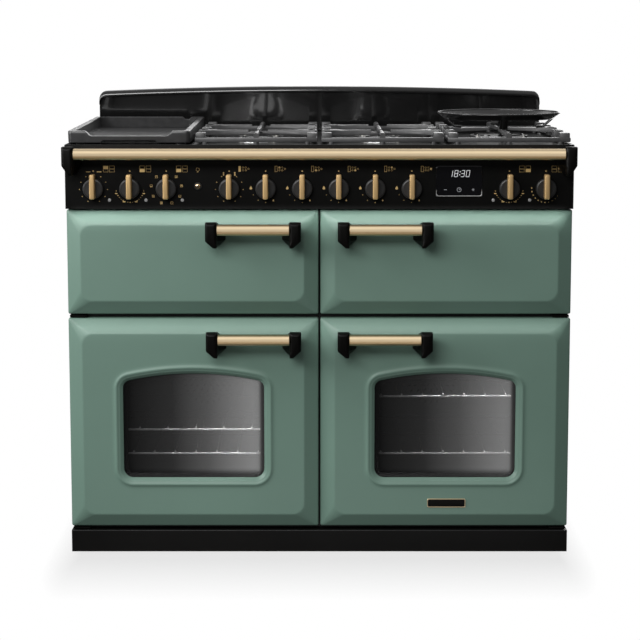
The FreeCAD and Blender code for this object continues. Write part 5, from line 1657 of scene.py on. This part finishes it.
print("burners", len(crowns), "flame slots", len(slot_piece.data.polygons) // 6)

# %% [markdown]
# The backguard is one pressed sheet with an arched top that rolls forward into a lip. It is lofted along
# its length: the same small profile stands at many places, and only its height follows the arch.

# %% Backguard
GUARD_DROP = 12 * MM
GUARD_CORNER = 18 * MM
GUARD_SHEET = 10 * MM
LIP_HEIGHT = 15 * MM
LIP_ROLL = 11 * MM
GUARD_LIFT = 6 * MM
GUARD_STEPS = 40
guard_low, guard_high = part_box("backguard")
GUARD_HALF = guard_high.x


def guard_top(x):
    """Height of the backguard's upper edge: a flat arch with round ends."""
    height = guard_high.z + GUARD_LIFT - GUARD_DROP * (x / GUARD_HALF) ** 2
    into_corner = abs(x) - (GUARD_HALF - GUARD_CORNER)
    if into_corner > 0:
        height -= GUARD_CORNER - math.sqrt(max(0.0, GUARD_CORNER ** 2 - into_corner ** 2))
    return height


def guard_section(x):
    """Closed profile of the sheet and its rolled lip at one place."""
    top = guard_top(x)
    front = guard_low.y
    face = guard_high.y - GUARD_SHEET
    under = top - LIP_HEIGHT
    roll = [(front + LIP_ROLL - LIP_ROLL * math.cos(math.radians(angle)),
             top - LIP_ROLL + LIP_ROLL * math.sin(math.radians(angle))) for angle in range(0, 91, 15)]
    profile = [(guard_high.y, guard_low.z), (face, guard_low.z), (face, under - 1.5 * MM),
               (face - 0.5 * MM, under), (front + 1.6 * MM, under), (front + 0.5 * MM, under + 0.5 * MM),
               (front, under + 1.6 * MM)]
    profile += roll + [(guard_high.y - 1 * MM, top), (guard_high.y, top - 1 * MM)]
    return [(x, y, z) for y, z in profile]


stations = [GUARD_HALF * math.sin(math.radians(90 * step / GUARD_STEPS))
            for step in range(-GUARD_STEPS, GUARD_STEPS + 1)]
guard = ring_mesh("backguard_sheet", [guard_section(x) for x in stations], True, True)
piece = put("backguard_sheet", guard, [black_enamel], "carcass")
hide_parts("backguard")
print("backguard sections", len(stations))

# %% [markdown]
# Wire shelves show through the windows as bright lines with a bead of light on each wire end. The front bar
# lies low, the wires cross over it, and a thin bar halfway back keeps them apart. A lamp strip hidden above
# the window, right of its middle, lights them from above. Little light reaches further in, so the finish of
# the wires fades to black behind the front bar.

# %% Oven shelves
SHELF_BAR = 2.4 * MM
SHELF_WIRE = 2.0 * MM
SHELF_DEPTH = 360 * MM
WIRE_LAP = 1 * MM
FADE_START = 6 * MM
FADE_END = 12 * MM
FADE_LEFT_OVER = 0.02
OVEN_LAMP_ASIDE = 0.11
OVEN_LAMP_Z = 0.47
OVEN_LAMP_POWER = {-1: 0.22, 1: 0.14}
OVEN_LAMP_SPREAD = math.radians(40)
LEFT_TOP_STEP = 54 * MM
RIGHT_TOP_STEP = 129 * MM
FINE_PITCH = 46 * MM
WIDE_PITCH = 62 * MM
shelves_low, shelves_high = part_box("oven_shelves")
SHELF_HALF = shelves_high.x - SHELF_BAR - OVEN_X


def rod_mesh(start, end, radius, steps=12):
    """Round bar between two places with slightly rounded ends."""
    along = (end - start).normalized()
    aside = along.orthogonal().normalized()
    other = along.cross(aside)
    ease = along * radius * 0.5
    rings = []
    for place, size in ((start, 0.6), (start + ease, 1.0), (end - ease, 1.0), (end, 0.6)):
        ring = []
        for angle in full_turn(steps):
            offset = aside * math.cos(angle) + other * math.sin(angle)
            ring.append(tuple(place + offset * radius * size))
        rings.append(ring)
    return ring_mesh("rod", rings, close_first=True, close_last=True)


def fade_with_depth(material, near, far, left_over):
    """Darkens a finish from a near to a far depth, as light from the front does not reach that far."""
    base = material.node_tree.nodes["Principled BSDF"].inputs["Base Color"]
    reach = mapped(material, object_axes(material).outputs["Y"], near, far, 1.0, left_over)
    shade_colour(material, base.links[0].from_socket, reach.outputs["Result"])


shelf_wire = finish("shelf_wire", (0.78, 0.78, 0.78), 0.5, drift=0.05, drift_scale=200, specular=0.2)
fade_with_depth(shelf_wire, shelves_low.y + FADE_START, shelves_low.y + FADE_END, FADE_LEFT_OVER)


def shelf_meshes(side, rise, pitch):
    """Bars and wires of one shelf."""
    middle = side * OVEN_X
    z = shelves_low.z + SHELF_BAR + rise
    front = shelves_low.y + SHELF_BAR
    rear = front + SHELF_DEPTH
    left = middle - SHELF_HALF
    right = middle + SHELF_HALF
    bars = [(left, front, right, front), (left, rear, right, rear), (left, front, left, rear),
            (right, front, right, rear)]
    meshes = [rod_mesh(Vector((x0, y0, z)), Vector((x1, y1, z)), SHELF_BAR) for x0, y0, x1, y1 in bars]
    brace_y = (front + rear) / 2
    meshes.append(rod_mesh(Vector((left, brace_y, z)), Vector((right, brace_y, z)), SHELF_WIRE))
    count = int(SHELF_HALF / pitch)
    wire_z = z + SHELF_BAR * 1.3
    for number in range(-count, count + 1):
        x = middle + number * pitch
        start = Vector((x, front - WIRE_LAP, wire_z))
        end = Vector((x, rear + WIRE_LAP, wire_z))
        meshes.append(rod_mesh(start, end, SHELF_WIRE, 8))
    return meshes


shelf_parts = shelf_meshes(-1, 0, FINE_PITCH) + shelf_meshes(-1, LEFT_TOP_STEP, WIDE_PITCH)
shelf_parts += shelf_meshes(1, 0, FINE_PITCH) + shelf_meshes(1, RIGHT_TOP_STEP, FINE_PITCH)
piece = put("shelf_wires", joined("shelf_wires", shelf_parts), [shelf_wire], "carcass")
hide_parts("oven_shelves")
for side, power in OVEN_LAMP_POWER.items():
    lamp_place = Vector((side * OVEN_X + OVEN_LAMP_ASIDE, shelves_low.y - 8 * MM, OVEN_LAMP_Z))
    lamp = soft_box("oven_lamp", lamp_place, lamp_place + Vector((0, 10 * MM, -0.2)), 0.32, 0.01, power)
    lamp.data.spread = OVEN_LAMP_SPREAD
print("shelf bars", len(shelf_parts))

# %% [markdown]
# Few people look at the back of a cooker, but a part that can be walked round needs one: screws along the
# edges, cooling slots, pressed ribs that stiffen the sheet, and a cover over the mains terminals. Screws and
# slots lie on regular grids, so a second node tree sets one small shape on every point of a grid.

# %% Grids of small shapes
def grid_tree(name, round_shape):
    """Node tree that sets a low round head, or a bar, on each point of a flat grid."""
    tree, given = new_tree(name, {"Columns": "Int", "Rows": "Int", "Width": "Float", "Height": "Float",
                                  "Shape Size": "Vector"})
    nodes = tree.nodes
    links = tree.links
    grid = nodes.new("GeometryNodeMeshGrid")
    sockets = {"Columns": "Vertices X", "Rows": "Vertices Y", "Width": "Size X", "Height": "Size Y"}
    for label, socket in sockets.items():
        links.new(given.outputs[label], grid.inputs[socket])
    if round_shape:
        shape = nodes.new("GeometryNodeMeshCone")
        shape.inputs["Vertices"].default_value = 10
        size = nodes.new("ShaderNodeSeparateXYZ")
        links.new(given.outputs["Shape Size"], size.inputs["Vector"])
        links.new(size.outputs["X"], shape.inputs["Radius Bottom"])
        links.new(size.outputs["Y"], shape.inputs["Radius Top"])
        links.new(size.outputs["Z"], shape.inputs["Depth"])
    else:
        shape = nodes.new("GeometryNodeMeshCube")
        links.new(given.outputs["Shape Size"], shape.inputs["Size"])
    scatter(tree, given, grid, shape)
    return tree


HEADS = grid_tree("heads_on_a_grid", True)
BARS = grid_tree("bars_on_a_grid", False)
FACING = {"back": (-90, "X"), "left": (-90, "Y"), "right": (90, "Y")}
SCREW = (4.2 * MM, 2.6 * MM, 1.6 * MM)


def on_grid(tree, columns, rows, width, height, size, material, facing, place):
    """Grid of shapes turned to look one way and moved to its place."""
    mesh = grown_mesh("grid", tree, {"Columns": columns, "Rows": rows, "Width": width, "Height": height,
                                     "Shape Size": size, "Material": material})
    degrees, axis = FACING[facing]
    mesh.transform(Matrix.Translation(place) @ Matrix.Rotation(math.radians(degrees), 4, axis))
    return mesh


def screw_frame(columns, rows, width, height, facing, place):
    """Screws along the four edges of a rectangle."""
    sides = [on_grid(HEADS, columns, 2, width, height, SCREW, screw_steel, facing, place)]
    if rows > 2:
        inner = height * (rows - 3) / (rows - 1)
        sides.append(on_grid(HEADS, 2, rows - 2, width, inner, SCREW, screw_steel, facing, place))
    return sides


# %% Back and sides
EDGE = 14 * MM
RIB_PROUD = 4 * MM
RIB_HALF = 9 * MM
RIB_XS = (-0.36, -0.12, 0.12, 0.36)
COVER_LEFT, COVER_RIGHT = -0.52, -0.40
COVER_PROUD = 7 * MM
RATING_LEFT, RATING_RIGHT = 0.10, 0.20
VENT_XS = (-0.17, 0.17)
BACK_VENT = (48 * MM, 5 * MM, 0.6 * MM)
SIDE_VENT = (4 * MM, 24 * MM, 0.6 * MM)
SCREW_LIFT = 0.8 * MM
VENT_LIFT = 0.1 * MM
back_low, back_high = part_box("back_panel")
BACK_Y = back_high.y
BACK_Z = (back_low.z + back_high.z) / 2


def pressed(x0, x1, z0, z1, proud, corner, slope):
    """Pressed field on the back: its outline rises over a short slope to a flat top."""
    rings = []
    for share, rise in ((0, 0), (0.3, 0.35), (0.7, 0.85), (1, 1)):
        inset = slope * share
        rings.append(rect_ring(x0, x1, z0, z1, inset, corner - inset * 0.5, BACK_Y + proud * rise))
    return ring_mesh("pressed", rings, close_last=True)


ribs = [pressed(x - RIB_HALF, x + RIB_HALF, back_low.z + 60 * MM, back_high.z - 190 * MM, RIB_PROUD,
                8.5 * MM, 5 * MM) for x in RIB_XS]
put("back_ribs", joined("back_ribs", ribs), [zinc_sheet], "carcass")
cover = pressed(COVER_LEFT, COVER_RIGHT, back_high.z - 130 * MM, back_high.z - 40 * MM, COVER_PROUD, 6 * MM,
                3 * MM)
put("terminal_cover", cover, [zinc_sheet], "carcass")
plate = pressed(RATING_LEFT, RATING_RIGHT, back_low.z + 12 * MM, back_low.z + 48 * MM, 0.5 * MM, 2 * MM,
                0.4 * MM)
put("rating_plate", plate, [bezel_silver], "carcass")

back_screws = screw_frame(9, 7, back_high.x * 2 - 2 * EDGE, back_high.z - back_low.z - 2 * EDGE, "back",
                          (0, BACK_Y + SCREW_LIFT, BACK_Z))
cover_middle = ((COVER_LEFT + COVER_RIGHT) / 2, BACK_Y + COVER_PROUD + 0.6 * MM, back_high.z - 85 * MM)
back_screws += screw_frame(2, 2, 104 * MM, 74 * MM, "back", cover_middle)
put("back_screws", joined("back_screws", back_screws), [screw_steel], "carcass")
# Each cooling slot is a thin black bar on the sheet: painted shade in place of an opening.
vents = [on_grid(BARS, 5, 6, 0.28, 60 * MM, BACK_VENT, painted_slot_shade, "back", (x, BACK_Y, back_high.z - 95 * MM))
         for x in VENT_XS]
put("back_vents", joined("back_vents", vents), [painted_slot_shade], "carcass")

side_low, side_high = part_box("side_panels")
SIDE_Y = (side_low.y + side_high.y) / 2
side_screws = []
side_vents = []
# The side vents are thin black bars on the panels: painted shade in place of openings.
for facing, x, out in (("left", side_low.x, -1), ("right", side_high.x, 1)):
    side_screws += screw_frame(2, 6, side_high.z - side_low.z - 2 * EDGE, side_high.y - side_low.y - 2 * EDGE,
                               facing, (x + out * SCREW_LIFT, SIDE_Y, BACK_Z))
    vent_place = (x + out * VENT_LIFT, SIDE_Y + 0.12, side_high.z - 75 * MM)
    side_vents.append(on_grid(BARS, 4, 7, 42 * MM, 0.20, SIDE_VENT, painted_slot_shade, facing, vent_place))
put("side_screws", joined("side_screws", side_screws), [screw_steel], "carcass")
put("side_vents", joined("side_vents", side_vents), [painted_slot_shade], "carcass")
print("groups of back and side screws", len(back_screws) + len(side_screws))

# %% [markdown]
# Behind the doors the ovens have rings of intake slots in the rear wall, where a fan draws its air. The
# grill pan carries a wire trivet, and small screws hold the inner skins of the doors.

# %% Insides
INTAKE_RINGS = ((14 * MM, 6), (28 * MM, 12), (42 * MM, 18), (56 * MM, 24))
INTAKE_SLOT = (7 * MM, 3.2 * MM, 0.6 * MM)
oven_low, oven_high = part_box("left_oven_cavity")
REAR_Y = oven_high.y - 1.5 * MM
OVEN_Z = (oven_low.z + oven_high.z) / 2
intakes = []
# Each intake slot is a thin black bar on the rear wall: painted shade in place of an opening.
for side in (-1, 1):
    for radius, count in INTAKE_RINGS:
        ring = grown_mesh("intake", RING_BARS, {"Count": count, "Radius": radius, "Bar Size": INTAKE_SLOT,
                                                "Material": painted_slot_shade})
        ring.transform(Matrix.Translation((side * OVEN_X, REAR_Y, OVEN_Z))
                       @ Matrix.Rotation(math.radians(90), 4, "X"))
        intakes.append(ring)
put("fan_intakes", joined("fan_intakes", intakes), [painted_slot_shade], "carcass")

pan_low, pan_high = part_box("grill_pan")
TRIVET_INSET = 8 * MM
TRIVET_END = 6 * MM
TRIVET_WIRES = 14
trivet_z = pan_high.z - 5 * MM
wire_z = trivet_z + 2 * MM
left, right = pan_low.x + TRIVET_INSET, pan_high.x - TRIVET_INSET
front, rear = pan_low.y + TRIVET_INSET, pan_high.y - TRIVET_INSET
wire_span = right - left - 2 * TRIVET_END
trivet = []
for y in (front, rear):
    trivet.append(rod_mesh(Vector((left, y, trivet_z)), Vector((right, y, trivet_z)), 2.5 * MM))
for number in range(TRIVET_WIRES):
    x = left + TRIVET_END + wire_span * number / (TRIVET_WIRES - 1)
    trivet.append(rod_mesh(Vector((x, front, wire_z)), Vector((x, rear, wire_z)), 1.6 * MM, 8))
put("grill_trivet", joined("grill_trivet", trivet), [bright_wire], "carcass")

LINER_SCREW = (3.4 * MM, 2.2 * MM, 1.0 * MM)
LINER_SCREW_SPAN = 0.36
for body in ("left_door", "right_door", "grill_door"):
    node = body + "_liner"
    low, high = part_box(node)
    place = ((low.x + high.x) / 2, high.y + 0.5 * MM, (low.z + high.z) / 2)
    height = high.z - low.z - 120 * MM
    screws = [on_grid(HEADS, 3, 2, LINER_SCREW_SPAN, height, LINER_SCREW, screw_steel, "back", place)]
    put(node + "_screws", joined(node + "_screws", screws), [screw_steel], body)
print("intakes", len(intakes), "trivet wires", len(trivet))

# %% [markdown]
# The floor is a dark grey, partly see-through sheet with a painted soft shadow: dark beside the plinth, it
# fades out away from the cooker, so that the picture ends in white on all sides.

# %% Floor
# Greatest cover of the painted shadow beside the plinth, and how far it fades to the sides and to the front.
FLOOR_DARK = 0.24
FLOOR_SIDE_FADE = 0.07
FLOOR_FRONT_FADE = 0.27
FLOOR_HALF = (plinth_high.x - 0.02, 0.30)
FLOOR_Z = -0.5 * MM
FLOOR_REACH = (0.8, 0.7)
FLOOR_CORNER = 0.2


def contact_shadow():
    """Floor finish with a painted shadow: dark beside the plinth, it turns see-through a short way off."""
    material = finish("floor_painted_shadow", (0.12, 0.12, 0.12), 0.6, drift=0.05, drift_scale=2, bump=0.05,
                      bump_scale=90)
    nodes = material.node_tree.nodes
    place = nodes.new("ShaderNodeTexCoord")
    away = vector_step(material, "ABSOLUTE", place.outputs["Object"])
    outside = vector_step(material, "SUBTRACT", away.outputs["Vector"], (*FLOOR_HALF, 0))
    beyond = vector_step(material, "MAXIMUM", outside.outputs["Vector"], (0, 0, 0))
    shares = (1 / FLOOR_SIDE_FADE, 1 / FLOOR_FRONT_FADE, 0)
    scaled = vector_step(material, "MULTIPLY", beyond.outputs["Vector"], shares)
    length = vector_step(material, "LENGTH", scaled.outputs["Vector"])
    fade = mapped(material, length.outputs["Value"], 0, 1, FLOOR_DARK, 0.0)
    material.node_tree.links.new(fade.outputs["Result"], nodes["Principled BSDF"].inputs["Alpha"])
    material.surface_render_method = "BLENDED"
    return material


floor_rings = []
for share in (0.5, 1.0):
    half_x, half_y = FLOOR_REACH[0] * share, FLOOR_REACH[1] * share
    outline = round_rect(-half_x, half_x, -half_y, half_y, FLOOR_CORNER * share)
    floor_rings.append([(x, y, FLOOR_Z) for x, y in outline])
floor_mesh = ring_mesh("floor", floor_rings, close_first=True)
if floor_mesh.polygons[0].normal.z < 0:
    floor_mesh.flip_normals()
floor_mesh.materials.append(contact_shadow())
floor = bpy.data.objects.new("floor", floor_mesh)
bpy.context.scene.collection.objects.link(floor)
print("floor fades over", FLOOR_FRONT_FADE)
